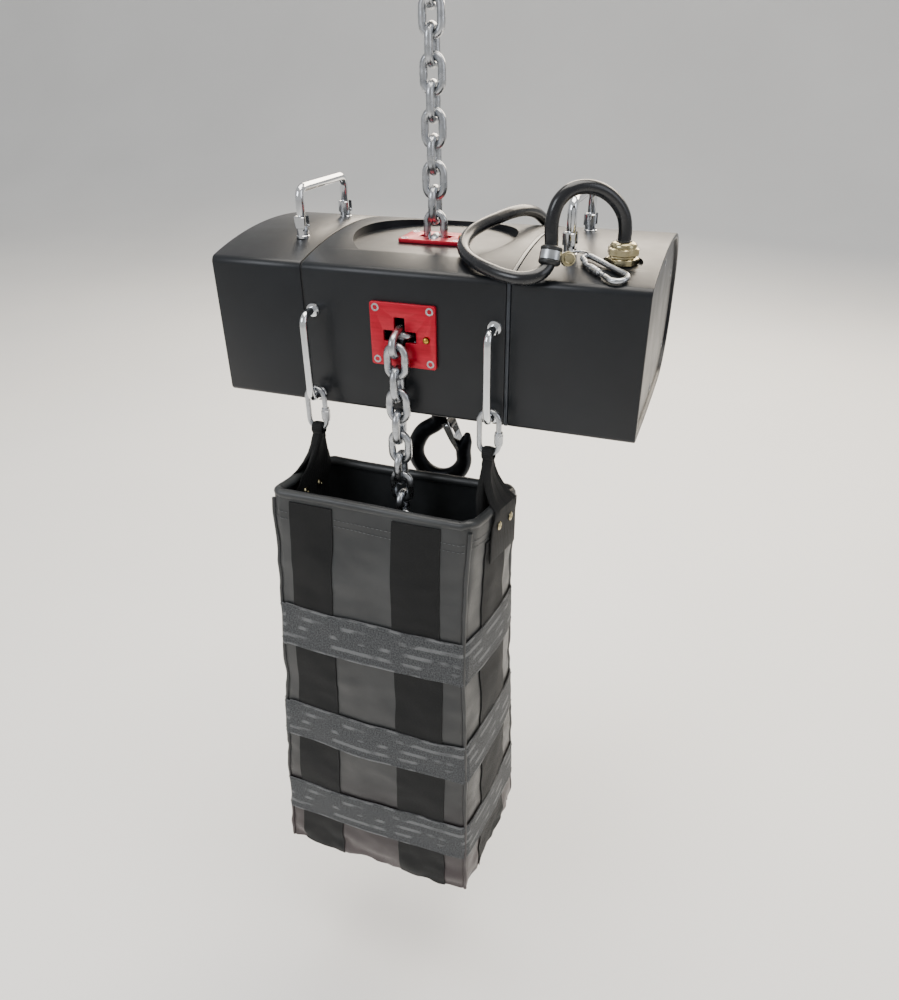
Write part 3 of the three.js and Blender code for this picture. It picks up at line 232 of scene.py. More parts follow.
def rubber(name, colour, roughness, depth=0.03):
    """Smooth black rubber with a soft gloss that comes and goes."""
    finish = Finish(name, colour, roughness, 0.0, 0.15)
    finish.link(finish.spread(finish.grain(14, 4), roughness - 0.05, roughness + 0.08), "Roughness")
    finish.bump(finish.grain(1.1, 3), depth, 0.6)
    return finish.material


def moulded_plastic():
    """Black moulded plastic with a fine spark-eroded grain."""
    finish = Finish("moulded_black_plastic", "#242629", 0.48)
    finish.link(finish.shade(finish.grain(8, 3), "#1F2124", "#2B2D31"), "Base Color")
    finish.bump(finish.grain(0.6, 2), 0.03, 0.7)
    return finish.material


def windings():
    """Copper windings between steel laminations, in bands."""
    finish = Finish("copper_windings_and_laminations", "#6A4630", 0.45, 0.8)
    finish.link(finish.shade(finish.grain(2, 2, stretch=(0.1, 1, 1)), "#4B4644", "#8C5A38"), "Base Color")
    finish.bump(finish.grain(0.8, 2, stretch=(8, 1, 1)), 0.1, 0.6)
    return finish.material


def coated_fabric():
    """Black coated cloth: a fine weave shows through the coating, which is creased and scuffed.

    Painted shade darkens it towards the foot, and the last part of the foot has a dull red cast."""
    finish = Finish("black_coated_fabric", "#232526", 0.42, 0.0, 0.1)
    weave = finish.sum("ADD", finish.waves(0.88, "X"), finish.waves(0.88, "Y"))
    scuff = finish.grain(70, 6)
    plain = finish.shade(scuff, "#252728", "#343637", 0.35, 0.7)
    height = finish.add("ShaderNodeSeparateXYZ", {0: finish.place.outputs["Object"]}).outputs["Z"]
    low = EDGE - 0.68
    lower = finish.spread(height, 1.0, 0.0, low + 0.02, low + 0.15)
    # Painted shade: the cloth colour is darkened gradually towards the foot, where the lower bag gets less
    # light.
    painted_shade_falloff = finish.spread(height, 0.8, 0.0, low + 0.05, low + 0.42)
    dark = finish.mix(painted_shade_falloff, plain, linear("#111213"))
    finish.link(finish.mix(finish.sum("MULTIPLY", lower, 0.6), dark, linear("#2E141B")), "Base Color")
    finish.link(finish.spread(finish.grain(22, 5), 0.33, 0.52), "Roughness")
    relief = finish.sum("ADD", finish.sum("MULTIPLY", weave, 0.12), finish.grain(16, 5))
    finish.bump(relief, 0.9, 0.35)
    return finish.material


STRIPE_SPACING = 12.5


def webbing(name, first, second, stripes):
    """Woven webbing: ribs across yarns, and broken lighter stripes along it where they are given."""
    finish = Finish(name, first, 0.72)
    finish.set("Sheen Weight", 0.04)
    finish.set("Specular IOR Level", 0.3)
    uv = finish.place.outputs["UV"]
    woven = finish.sum("MULTIPLY", finish.waves(1.005, "Y"), finish.waves(0.691, "X"))
    fleck = finish.grain(1.7, 2, where="UV")
    tone = finish.sum("ADD", finish.sum("MULTIPLY", woven, 0.35), fleck)
    base = finish.shade(tone, first, second, 0.42, 0.82)
    if stripes:
        across = finish.add("ShaderNodeSeparateXYZ", {0: uv}).outputs["X"]
        wave = finish.sum("COSINE", finish.sum("MULTIPLY", across, 2 * math.pi * 1000 / STRIPE_SPACING))
        line = finish.spread(wave, 0.0, 1.0, 0.2, 0.75)
        broken = finish.spread(finish.grain(26, 1, where="UV", stretch=(0.9, 1, 1)), 0.0, 1.0, 0.46, 0.56)
        patch = finish.sum("MULTIPLY", line, broken)
        base = finish.mix(finish.sum("MULTIPLY", patch, 0.5), base, linear(stripes))
    finish.link(base, "Base Color")
    finish.bump(woven, 0.35, 0.8)
    return finish.material


def thread():
    """Waxed grey thread."""
    finish = Finish("waxed_stitching_thread", "#4A4C4E", 0.6)
    finish.link(finish.shade(finish.grain(0.9, 2), "#3A3C3E", "#606264"), "Base Color")
    finish.bump(finish.grain(0.3, 2), 0.05, 0.8)
    return finish.material


FINISHES = {
    "black_coat": powder_coat(),
    "cast_black": cast_black(),
    "gasket": seam_strip(),
    "band": joint_band(),
    "red_plate": red_anodised(),
    "brass": polished("turned_brass", "#C8A04E", "#B98F3E", 0.2, 0.36),
    "plastic": moulded_plastic(),
    "chrome": polished("bright_chrome_plate", "#E6E8EA", "#D8DADD", 0.05, 0.13, 14),
    "hook_black": polished("blackened_forging", "#1A1B1D", "#25272A", 0.3, 0.42),
    "steel": polished("machined_steel", "#9DA1A6", "#878B90", 0.25, 0.4),
    "zinc": polished("bright_zinc_plate", "#C3C5C8", "#A4A7AB", 0.2, 0.38, 9),
    "windings": windings(),
    "bare_aluminium": polished("machined_aluminium", "#B9BCC0", "#A6A9AE", 0.3, 0.45),
    "nickel": polished("nickel_plated_brass", "#C4BA98", "#9A8F6C", 0.14, 0.28, 7),
    "cable_sheath": rubber("black_cable_sheath", "#0A0C11", 0.24, 0.012),
    "clamp_rubber": rubber("black_clamp_rubber", "#141516", 0.45, 0.04),
    "bag_plastic": coated_fabric(),
    "webbing": webbing("black_woven_webbing", "#050607", "#0F1112", None),
    "grey_webbing": webbing("grey_woven_webbing", "#2E3032", "#5C5E60", "#8A8C8D"),
    "thread": thread(),
}
FINISHES["heaped_chain"] = FINISHES["zinc"]


# ---------------------------------------------------------------- building helpers
def settle(obj, sharp=38):
    """Outward normals, and smooth shading with crisp edges over the given angle."""
    shape = bmesh.new()
    shape.from_mesh(obj.data)
    bmesh.ops.recalc_face_normals(shape, faces=shape.faces)
    shape.to_mesh(obj.data)
    shape.free()
    for face in obj.data.polygons:
        face.use_smooth = True
    obj.data.set_sharp_from_angle(angle=math.radians(sharp))
    return obj


def make(name, points, faces, uvs=None):
    """A mesh object of points in the frame; uvs has one pair for each corner of each face."""
    data = bpy.data.meshes.new(name)
    data.from_pydata([tuple(p) for p in points], [], faces)
    if uvs:
        layer = data.uv_layers.new(name="UVMap")
        flat = [value for pair in uvs for value in pair]
        layer.data.foreach_set("uv", flat)
    obj = bpy.data.objects.new(name, data)
    bpy.context.scene.collection.objects.link(obj)
    return obj


def show(obj, finish, body, nodes=()):
    """Gives a piece its finish, its body, and the nodes that it stands for."""
    obj.data.materials.clear()
    obj.data.materials.append(FINISHES[finish])
    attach(obj, body)
    if nodes:
        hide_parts(*nodes)
    return obj


def loft(rings, closed=False, caps=True, around=True):
    """Points, faces and UVs in metres of a skin over rings of equal length."""
    count = len(rings[0])
    points = [p for ring in rings for p in ring]
    faces, uvs = [], []
    girth = [0.0]
    for i in range(count):
        girth.append(girth[-1] + (rings[0][(i + 1) % count] - rings[0][i]).length)
    reach = [0.0]
    for i in range(len(rings)):
        reach.append(reach[-1] + (rings[(i + 1) % len(rings)][0] - rings[i][0]).length)
    for row in range(len(rings) if closed else len(rings) - 1):
        under = (row + 1) % len(rings)
        for i in range(count if around else count - 1):
            j = (i + 1) % count
            faces.append((row * count + i, row * count + j, under * count + j, under * count + i))
            uvs += [
                (girth[i], reach[row]), (girth[i + 1], reach[row]),
                (girth[i + 1], reach[row + 1]), (girth[i], reach[row + 1]),
            ]
    if caps and not closed:
        for base in (0, (len(rings) - 1) * count):
            faces.append(tuple(base + i for i in range(count)))
            uvs += [(girth[i], 0.0) for i in range(count)]
    return points, faces, uvs


def frames(path, closed=False, start=None):
    """Tangent, side and up at each point of a path, turning as little as possible."""
    count = len(path)
    found = []
    side = None
    for i in range(count):
        back = path[i - 1] if (closed or i) else path[0]
        on = path[(i + 1) % count] if (closed or i < count - 1) else path[-1]
        tangent = (on - back).normalized()
        if side is None:
            hint = start or (Vector((0, 0, 1)) if abs(tangent.z) < 0.9 else Vector((1, 0, 0)))
            side = hint.cross(tangent).normalized()
        side = (side - tangent * side.dot(tangent)).normalized()
        found.append((tangent, side, tangent.cross(side)))
    return found


def tube(path, radius, sides=16, closed=False, start=None, rounded=False):
    """A round rod along a path; radius is in metres, one value or one for each point."""
    radii = radius if isinstance(radius, list) else [radius] * len(path)
    rings = []
    for p, r, (_, side, up) in zip(path, radii, frames(path, closed, start)):
        turns = [2 * math.pi * k / sides for k in range(sides)]
        rings.append([p + side * (r * math.cos(a)) + up * (r * math.sin(a)) for a in turns])
    if rounded and not closed:
        rings = [tip_ring(rings[0], path[0], path[1], s) for s in (0.15, 0.6, 0.9)] + rings
        rings = rings + [tip_ring(rings[-1], path[-1], path[-2], s) for s in (0.9, 0.6, 0.15)]
    return loft(rings, closed)


def tip_ring(ring, centre, inner, share):
    """A smaller ring beyond a rod's end, for a rounded end."""
    out = (centre - inner).normalized()
    radius = (ring[0] - centre).length
    push = out * radius * 0.55 * math.sqrt(1 - share ** 2)
    return [centre + (p - centre) * share + push for p in ring]


def bent(corners, bend, per_bend=7):
    """A path through corners with rounded bends; sizes in metres."""
    path = [corners[0]]
    for back, corner, on in zip(corners, corners[1:], corners[2:]):
        start = corner + (back - corner).normalized() * bend
        end = corner + (on - corner).normalized() * bend
        for k in range(per_bend + 1):
            t = k / per_bend
            path.append(start * (1 - t) ** 2 + corner * (2 * t * (1 - t)) + end * t ** 2)
    path.append(corners[-1])
    return path


def merge(name, *shapes):
    """One mesh object of several lots of points, faces and UVs."""
    points, faces, uvs = [], [], []
    for some_points, some_faces, some_uvs in shapes:
        faces += [tuple(i + len(points) for i in face) for face in some_faces]
        points += some_points
        uvs += some_uvs
    return settle(make(name, points, faces, uvs))


def turned(profile, centre, axis, sides=32):
    """A turned skin from (radius, height) pairs in millimetres about an axis from a centre."""
    axis = Vector(axis).normalized()
    side = axis.orthogonal().normalized()
    up = axis.cross(side)
    rings = []
    for radius, height in profile:
        middle = centre + axis * (height / 1000)
        rings.append([
            middle + (side * math.cos(a) + up * math.sin(a)) * (max(radius, 0.01) / 1000)
            for a in (2 * math.pi * k / sides for k in range(sides))
        ])
    return loft(rings)


def hex_profile(flats, height, chamfer):
    """The (half width across flats, height) of each ring of a hexagon nut."""
    half = flats / 2
    return [(half - chamfer, 0), (half, chamfer), (half, height - chamfer), (half - chamfer, height)]


def hexagonal(flats, height, centre, axis, chamfer=0.8, side=None):
    """A hexagon nut or head with chamfered ends; sizes in millimetres."""
    axis = Vector(axis).normalized()
    side = Vector(side).normalized() if side else axis.orthogonal().normalized()
    up = axis.cross(side)
    rings = []
    for half, along in hex_profile(flats, height, chamfer):
        ring = []
        for k in range(36):
            angle = 2 * math.pi * k / 36
            local = (math.degrees(angle) % 60) - 30
            corner = half / math.cos(math.radians(local))
            corner = min(corner, flats / 2 / math.cos(math.radians(30)) - 0.25)
            if half < flats / 2:
                corner = min(corner, flats / 2)
            ring.append(
                centre + axis * (along / 1000)
                + (side * math.cos(angle) + up * math.sin(angle)) * (corner / 1000)
            )
        rings.append(ring)
    return loft(rings)


def screw_head(centre, axis, radius=3.6, socket=2.0, proud=0.25):
    """A countersunk head with a hexagon socket, flush with the face it is in."""
    axis = Vector(axis).normalized()
    side = axis.orthogonal().normalized()
    up = axis.cross(side)
    rings = []
    for size, height, hexagon in (
        (radius, -0.9, 0), (radius, proud - 0.25, 0), (radius - 0.3, proud, 0),
        (socket + 0.25, proud, 1), (socket, proud - 0.25, 1), (socket, -1.8, 1), (0.02, -2.1, 0),
    ):
        ring = []
        for k in range(36):
            angle = 2 * math.pi * k / 36
            reach = size
            if hexagon:
                reach = size / math.cos(math.radians((math.degrees(angle) % 60) - 30)) * 0.93
            ring.append(
                centre + axis * (height / 1000)
                + (side * math.cos(angle) + up * math.sin(angle)) * (reach / 1000)
            )
        rings.append(ring)
    return loft(rings)


def prism(outline, low, high, axis="z"):
    """A solid between two heights over an outline of points in the other two axes."""
    rings = []
    for level in (low, high):
        if axis == "z":
            rings.append([at(a, b, level) for a, b in outline])
        elif axis == "y":
            rings.append([at(a, level, b) for a, b in outline])
        else:
            rings.append([at(level, a, b) for a, b in outline])
    return loft(rings)


def rounded_rectangle(cx, cy, half_x, half_y, radius, steps=5):
    """An outline with rounded corners about a middle."""
    points = []
    for sx, sy, start in ((1, 1, 0), (-1, 1, 90), (-1, -1, 180), (1, -1, 270)):
        for k in range(steps + 1):
            angle = math.radians(start + 90 * k / steps)
            points.append((
                cx + sx * (half_x - radius) + radius * math.cos(angle),
                cy + sy * (half_y - radius) + radius * math.sin(angle),
            ))
    return points


def circle(cx, cy, radius, steps=48):
    turns = [2 * math.pi * k / steps for k in range(steps)]
    return [(cx + radius * math.cos(a), cy + radius * math.sin(a)) for a in turns]


def cut(obj, tools, operation="DIFFERENCE"):
    """Cuts tool pieces out of a piece, or joins them to it, and clears them away."""
    for tool in tools:
        step = obj.modifiers.new("cut", "BOOLEAN")
        step.object = tool
        step.solver = "EXACT"
        step.operation = operation
    graph = bpy.context.evaluated_depsgraph_get()
    data = bpy.data.meshes.new_from_object(obj.evaluated_get(graph))
    obj.modifiers.clear()
    obj.data = data
    for tool in tools:
        bpy.data.objects.remove(tool)
    return obj


def carve(obj, cutters, operation="DIFFERENCE"):
    """Cuts shapes out of a piece, or joins them to it."""
    tools = [settle(make("tool", *shape[:2])) for shape in cutters]
    return cut(settle(obj), tools, operation)


def soften(obj, width, angle=32, segments=2):
    """Rounds the sharp edges of a piece by a width in millimetres."""
    shape = bmesh.new()
    shape.from_mesh(obj.data)
    bmesh.ops.remove_doubles(shape, verts=shape.verts, dist=0.00002)
    bmesh.ops.dissolve_limit(
        shape, angle_limit=math.radians(0.5), verts=shape.verts, edges=shape.edges
    )
    limit = math.radians(angle)
    edges = [e for e in shape.edges if len(e.link_faces) == 2 and e.calc_face_angle(0) > limit]
    bmesh.ops.bevel(
        shape, geom=edges, offset=width / 1000, offset_type="OFFSET", affect="EDGES",
        segments=segments, profile=0.5, material=-1, clamp_overlap=True,
    )
    shape.to_mesh(obj.data)
    shape.free()
    return settle(obj)


# ---------------------------------------------------------------- housing
# The section: front to back, height of the front face, rise of the vault, sag below, wall.
DEPTH, FACE, CROWN, SAG, WALL = 224, 130, 15.5, 4, 5
CORNERS = {"front_top": 7, "back_top": 60, "back_bottom": 60, "front_bottom": 4}


def arc_radius(rise):
    """The radius of an arc that spans the housing's depth and rises by that much."""
    return (rise * rise + DEPTH * DEPTH / 4) / (2 * rise)


# Radius and centre height of the vault's arc and of the floor's.
TOP = (arc_radius(CROWN), CROWN - arc_radius(CROWN))
BOTTOM = (arc_radius(SAG), arc_radius(SAG) - FACE - SAG)


def top_at(y):
    """The vault's height at Y."""
    return TOP[1] + math.sqrt(TOP[0] ** 2 - (y - DEPTH / 2) ** 2)


def housing_corner(arc, upper, front, radius, inset):
    """A corner's centre (Y, Z), its radius, and the angle where it meets the arc."""
    r = max(radius - inset, 1)
    y = inset + r if front else DEPTH - inset - r
    reach = arc[0] - inset - r
    rise = math.sqrt(reach ** 2 - (y - DEPTH / 2) ** 2)
    z = arc[1] + (rise if upper else -rise)
    return y, z, r, math.atan2(z - arc[1], y - DEPTH / 2)


def housing_outline(inset=0.0):
    """The housing's section (Y, Z), moved inwards."""
    front_top = housing_corner(TOP, True, True, CORNERS["front_top"], inset)
    back_top = housing_corner(TOP, True, False, CORNERS["back_top"], inset)
    back_bottom = housing_corner(BOTTOM, False, False, CORNERS["back_bottom"], inset)
    front_bottom = housing_corner(BOTTOM, False, True, CORNERS["front_bottom"], inset)

    def arc(y, z, radius, start, end, steps):
        angles = [start + (end - start) * k / steps for k in range(steps + 1)]
        return [(y + radius * math.cos(a), z + radius * math.sin(a)) for a in angles]

    half = DEPTH / 2
    points = (
        arc(*front_top[:3], math.pi, front_top[3], 10)
        + arc(half, TOP[1], TOP[0] - inset, front_top[3], back_top[3], 32)
        + arc(*back_top[:3], back_top[3], 0, 20)
        + arc(*back_bottom[:3], 0, back_bottom[3], 20)
        + arc(half, BOTTOM[1], BOTTOM[0] - inset, back_bottom[3], front_bottom[3], 12)
        + arc(*front_bottom[:3], front_bottom[3], -math.pi, 6)
    )
    kept = []
    for point in points:
        if not kept or math.dist(point, kept[-1]) > 0.05:
            kept.append(point)
    return kept


def housing_ring(x, inset):
    return [at(x, y, z) for y, z in housing_outline(inset)]


def shell_skin(steps):
    """A skin through sections given as (x, inset), closed on itself."""
    count = min(len(housing_outline(inset)) for _, inset in steps)
    rings = [housing_ring(x, inset)[:count] for x, inset in steps]
    return loft(rings, closed=True)


def end_cover(name, outer, inner):
    """A cover with a rolled rim, a ledge for its end plate and a soft edge at the joint."""
    way = 1 if inner > outer else -1
    seat = outer + way * 7.3
    return merge(name, shell_skin([
        (outer + way * 1.4, 0), (outer + way * 0.4, 0.4), (outer, 1.4), (outer, WALL - 1.2),
        (outer + way * 0.5, WALL - 0.2), (outer + way * 1.2, WALL), (seat, WALL),
        (seat, WALL + 4), (seat + way * 4, WALL + 4), (seat + way * 4, WALL),
        (inner, WALL), (inner, 0.6), (inner - way * 0.2, 0.2), (inner - way * 0.6, 0),
    ]))


def end_plate(name, face, side):
    """The plate let into an end cover, with a soft edge."""
    return merge(name, loft([housing_ring(x, inset) for x, inset in (
        (face - side * 4, WALL + 0.4), (face - side * 0.6, WALL + 0.4),
        (face - side * 0.15, WALL + 0.55), (face, WALL + 1.0),
    )]))


def end_screws(name, face, side):
    """The six screws of an end plate."""
    spots = [(22, -20), (112, -3), (188, -30), (22, -110), (112, -121), (188, -102)]
    return merge(name, *[
        screw_head(at(face, y, z), (side, 0, 0), 3.2, 1.7, 0.5) for y, z in spots
    ])


LEFT_OUT, LEFT_IN = -188.0, -95.8
RIGHT_IN, RIGHT_OUT = 99.5, 212.0

show(end_cover("left_cover_shell", LEFT_OUT, LEFT_IN), "black_coat", "housing", ["left_cover"])
show(end_plate("left_end_panel", LEFT_OUT + 3, -1), "black_coat", "housing", ["left_end_plate"])
show(end_plate("right_end_panel", RIGHT_OUT - 3, 1), "black_coat", "housing", ["right_end_plate"])
show(end_screws("left_end_screws", LEFT_OUT + 3, -1), "steel", "housing")
show(end_screws("right_end_screws", RIGHT_OUT - 3, 1), "steel", "housing")
show(merge("left_seam_strip", shell_skin([
    (-95.5, 0.9), (-95.5, WALL), (-94.3, WALL), (-94.3, 0.9),
])), "gasket", "housing")
show(merge("right_joint_band", shell_skin([
    (95.6, 0.5), (95.6, WALL), (99.1, WALL), (99.1, 0.5), (98.7, -0.3), (98.0, -0.45),
    (96.7, -0.45), (96.0, -0.3),
])), "band", "housing", ["right_gasket"])

# The gland's spot face and hole are cut into the right cover.
GLAND = (180, 45.5)
GLAND_SEAT = 8.4
right_cover = end_cover("right_cover_shell", RIGHT_OUT, RIGHT_IN)
carve(right_cover, [prism(circle(*GLAND, 20), 2.2, top_at(GLAND[1]) - 3)], "UNION")
carve(right_cover, [
    prism(circle(*GLAND, 17), 8.2, 30), prism(circle(*GLAND, 10), -10, 30),
])
show(settle(right_cover, 30), "black_coat", "housing", ["right_cover"])


def centre_shell():
    """The centre housing: round pocket for the top plate, square chain wells, plunger holes."""
    skin = [(-94.0, 0.5), (-93.6, 0.12), (-93.2, 0), (94.4, 0), (94.8, 0.12), (95.2, 0.5)]
    obj = settle(make("centre_housing_shell", *loft([housing_ring(x, i) for x, i in skin])[:2]))
    hollow = settle(make("hollow", *loft([housing_ring(-100, WALL), housing_ring(101, WALL)])[:2]))
    carve(hollow, [prism(circle(0, 90, 82, 96), 3, 40)])
    bowl = prism(circle(0, 90, 77, 128), 8, 40)
    well = rounded_rectangle(0, 90, 17, 17, 2)
    front_well = rounded_rectangle(0, -56, 17, 17, 2)
    carve(cut(obj, [hollow]), [
        bowl, prism(well, 0, 20), prism(front_well, -3, 8, "y"),
        prism(circle(25, 90, 3, 24), 0, 20), prism(circle(25, -57, 3, 24), -3, 8, "y"),
        prism(circle(0, 90, 13.4), -145, -120),
    ])
    return settle(obj, 30)


show(centre_shell(), "black_coat", "housing", ["centre_housing"])


# ---------------------------------------------------------------- chain plates
def cross(cx, cy, half_x, half_y, arm):
    """A plus-shaped outline with rounded inner and outer corners."""
    a = arm / 2
    corners = [
        (a, half_y), (-a, half_y), (-a, a), (-half_x, a), (-half_x, -a), (-a, -a),
        (-a, -half_y), (a, -half_y), (a, -a), (half_x, -a), (half_x, a), (a, a),
    ]
    path = []
    count = len(corners)
    for i in range(count):
        back, corner, on = (Vector(corners[(i + k) % count]) for k in (-1, 0, 1))
        start = corner + (back - corner).normalized() * 1.2
        end = corner + (on - corner).normalized() * 1.2
        for k in range(5):
            t = k / 4
            path.append(start * (1 - t) ** 2 + corner * (2 * t * (1 - t)) + end * t ** 2)
    return [(cx + p.x, cy + p.y) for p in path]


def chain_plate(name, outline, hole, pin, levels, axis):
    """A plate with a chain hole and a pin hole right through it."""
    low, high = levels
    plate = settle(make(name, *prism(outline, low, high, axis)[:2]))
    margin = 3
    carve(plate, [
        prism(hole, low - margin, high + margin, axis),
        prism(circle(*pin, 3.0, 28), low - margin, high + margin, axis),
    ])
    return soften(plate, 0.5, 40)


FRONT_SCREWS = [(3 + sx * 25.5, -55 + sz * 23.5) for sx in (-1, 1) for sz in (-1, 1)]
TOP_SCREWS = [(sx * 25.5, 90 + sy * 15) for sx in (-1, 1) for sy in (-1, 1)]
front_plate = chain_plate(
    "front_red_plate", rounded_rectangle(3, -55, 31, 28.5, 2.5), cross(0, -56, 15.5, 17, 10),
    (25, -57), (-3.8, -0.3), "y",
)
show(front_plate, "red_plate", "housing", ["front_chain_plate"])
top_plate = chain_plate(
    "top_red_plate", rounded_rectangle(0, 90, 30.5, 20, 2.5), cross(0, 90, 15.5, 15.5, 10),
    (25, 90), (8.3, 11.8), "z",
)
show(top_plate, "red_plate", "housing", ["top_chain_plate"])
show(merge("front_plate_screws", *[
    screw_head(at(x, -3.8, z), (0, -1, 0)) for x, z in FRONT_SCREWS
]), "zinc", "housing")
show(merge("top_plate_screws", *[
    screw_head(at(x, y, 11.8), (0, 0, 1)) for x, y in TOP_SCREWS
]), "zinc", "housing")
PIN = [(0.02, 0), (2.3, 0), (2.6, 0.3), (2.6, 14.3), (2.0, 14.9), (1.0, 15.2), (0.02, 15.3)]
show(merge("top_plunger_pin", turned(
    PIN, at(25, 90, -1), (0, 0, 1), 24,
)), "brass", "top_limit_plunger", ["top_limit_plunger"])
show(merge("front_plunger_pin", turned(
    PIN, at(25, 9, -57), (0, -1, 0), 24,
)), "brass", "front_limit_plunger", ["front_limit_plunger"])


# ---------------------------------------------------------------- handles
HANDLE_Y = (52, 142)
HANDLE_PIVOT_Z = 22


def folding_handle(name, x):
    """A round-rod handle with a pivot pin across each foot."""
    front, rear = HANDLE_Y
    path = bent([
        at(x, front, HANDLE_PIVOT_Z), at(x, front, 54), at(x, rear, 54), at(x, rear, HANDLE_PIVOT_Z),
    ], 0.010, 9)
    pins = [
        turned(
            [(1.0, 0), (1.5, 0.4), (1.5, 13), (1.0, 13.4)], at(x, y - 6.7, HANDLE_PIVOT_Z), (0, 1, 0), 16,
        )
        for y in HANDLE_Y
    ]
    return merge(name, tube(path, 0.004, 20, rounded=True), *pins)


def handle_foot(name, x, y):
    """A stepped cup with a slot towards +X that lets the handle fold."""
    base = max(top_at(y - 7), top_at(y + 7)) + 0.3
    lower = turned([
        (4.9, base - 1.5), (6.2, base - 1.5), (6.2, base + 0.4), (5.6, base + 1.0), (5.6, 19.4),
        (7.0, 20.0), (7.0, 29.4), (6.5, 30.0), (5.2, 30.0), (4.9, 29.6), (4.9, 17.2), (0.5, 17.1),
        (0.5, base - 1.5),
    ], at(x, y, 0), (0, 0, 1), 40)
    foot = settle(make(name, *lower[:2]))
    slot = rounded_rectangle(x + 6, y, 6, 4.75, 0.4, 2)
    carve(foot, [prism(slot, 17.3, 40)])
    return settle(foot, 35)


for side, x in (("left", -119), ("right", 135)):
    show(folding_handle(f"{side}_chrome_handle", x), "chrome", f"{side}_handle", [f"{side}_handle"])
    for row, y in zip(("front", "rear"), HANDLE_Y):
        node = f"{side}_handle_{row}_foot"
        show(handle_foot(f"{side}_{row}_cup", x, y), "chrome", "housing", [node])

for side, x in (("left", -86), ("right", 86)):
    loop = bent([at(x, -0.3, -40.5), at(x, -20, -40.5), at(x, -20, -121), at(x, -0.3, -121)], 0.0105, 9)
    collars = [
        turned([(3.4, 0), (6.2, 0), (6.4, 0.4), (5.9, 1.6), (3.4, 2.0)], at(x, -0.2, z), (0, -1, 0), 32)
        for z in (-40.5, -121)
    ]
    handle = merge(f"{side}_chrome_bag_handle", tube(loop, 0.0035, 20), *collars)
    show(handle, "chrome", "housing", [f"{side}_bag_handle"])


# ---------------------------------------------------------------- chain
WIRE, PITCH, HALF_WIDTH = 7.1, 21.0, 8.35
WHEEL_Z = -76.0
WHEEL_R = PITCH / (2 * math.sin(math.pi / 8))
CHAIN_Y = 90
WHEEL_Y = CHAIN_Y - WHEEL_R


def chain_link(centre, along, side, weld=1):
    """A welded link: oval of round wire with a low swelling at its weld; sizes in metres."""
    half, crown = HALF_WIDTH / 1000, (PITCH + WIRE) / 2000
    straight = crown - half
    path, radii = [], []
    for turn in range(2):
        sign = 1 - 2 * turn
        for k in range(13):
            angle = math.pi * k / 12
            x, y = half * math.cos(angle) * sign, (straight + half * math.sin(angle)) * sign
            path.append((x, y))
        for k in range(1, 6):
            y = straight - 2 * straight * k / 6
            path.append((-half * sign, y * sign))
    for x, y in path:
        swelling = 0.075 * math.exp(-((y * 1000 / 1.5) ** 2)) if x * weld > 0 else 0.0
        radii.append(WIRE / 2000 * (1 + swelling))
    points = [centre + side * x + along * y for x, y in path]
    return tube(points, radii, 14, closed=True, start=side.cross(along))


def chain_run(name, joints, flat_first, seed, wander):
    """Links through joints given as (Y, Z); each link rolls a little about its length."""
    rng = random.Random(seed)
    across = Vector((1, 0, 0))
    shapes = []
    for i, (start, end) in enumerate(zip(joints, joints[1:])):
        a, b = at(0, *start), at(0, *end)
        along = (b - a).normalized()
        side = across if (i % 2 == 0) == flat_first else across.cross(along)
        roll = Matrix.Rotation(math.radians(rng.uniform(-wander, wander)), 3, along)
        shapes.append(chain_link((a + b) / 2, along, roll @ side, rng.choice((-1, 1))))
    return merge(name, *shapes)


def elbow(start, end, first, second):
    """The point at the two distances from both ends of a span, on its upper side."""
    span = Vector(end) - Vector(start)
    along = (span.length_squared + first ** 2 - second ** 2) / (2 * span.length)
    rise = math.sqrt(first ** 2 - along ** 2)
    unit = span.normalized()
    up = Vector((-unit.y, unit.x))
    if up.y < 0:
        up.negate()
    return tuple(Vector(start) + unit * along + up * rise)


def load_joints():
    """Where links meet: down to the wheel, half a turn round it and out of the front plate."""
    joints = [(CHAIN_Y, WHEEL_Z + PITCH * n) for n in range(14, 0, -1)]
    for step in range(5):
        angle = -step * math.pi / 4
        joints.append((WHEEL_Y + WHEEL_R * math.cos(angle), WHEEL_Z + WHEEL_R * math.sin(angle)))
    in_wall = (2.0, -56.0)
    fall = 0.29
    out = (-math.sqrt(1 - fall ** 2), -fall)
    joints.append(elbow(joints[-1], in_wall, PITCH, PITCH))
    return joints + [in_wall, (in_wall[0] + out[0] * PITCH, in_wall[1] + out[1] * PITCH)]


joints = load_joints()
show(chain_run("load_chain_links", joints[:13], False, 5, 2.0), "zinc", "housing", ["load_chain"])
show(chain_run("wheel_chain_links", joints[12:], False, 6, 0.0), "zinc", "housing", ["wheel_chain"])
slack = [(-13.5, -64.9 - PITCH * n) for n in range(21)]
show(chain_run("slack_chain_links", slack, True, 9, 3.0), "zinc", "slack_chain", ["slack_chain"])


# ---------------------------------------------------------------- camera
yaw, pitch, roll = math.radians(20.23), math.radians(30.22), math.radians(-0.71)
level = Vector((-math.sin(yaw), math.cos(yaw), 0))
forward = level * math.cos(pitch) - Vector((0, 0, 1)) * math.sin(pitch)
right = Vector((math.cos(yaw), math.sin(yaw), 0))
upward = right.cross(forward)
tilted_right = right * math.cos(roll) + upward * math.sin(roll)
tilted_up = upward * math.cos(roll) - right * math.sin(roll)
axes = Matrix((tilted_right, tilted_up, -forward)).transposed()
camera = bpy.data.objects.new("camera", bpy.data.cameras.new("camera"))
bpy.context.scene.collection.objects.link(camera)
camera.data.lens = 27.64
camera.data.sensor_width = 36
camera.matrix_world = Matrix.Translation(at(266.6, -605.4, 159.7)) @ axes.to_4x4()
bpy.context.scene.camera = camera

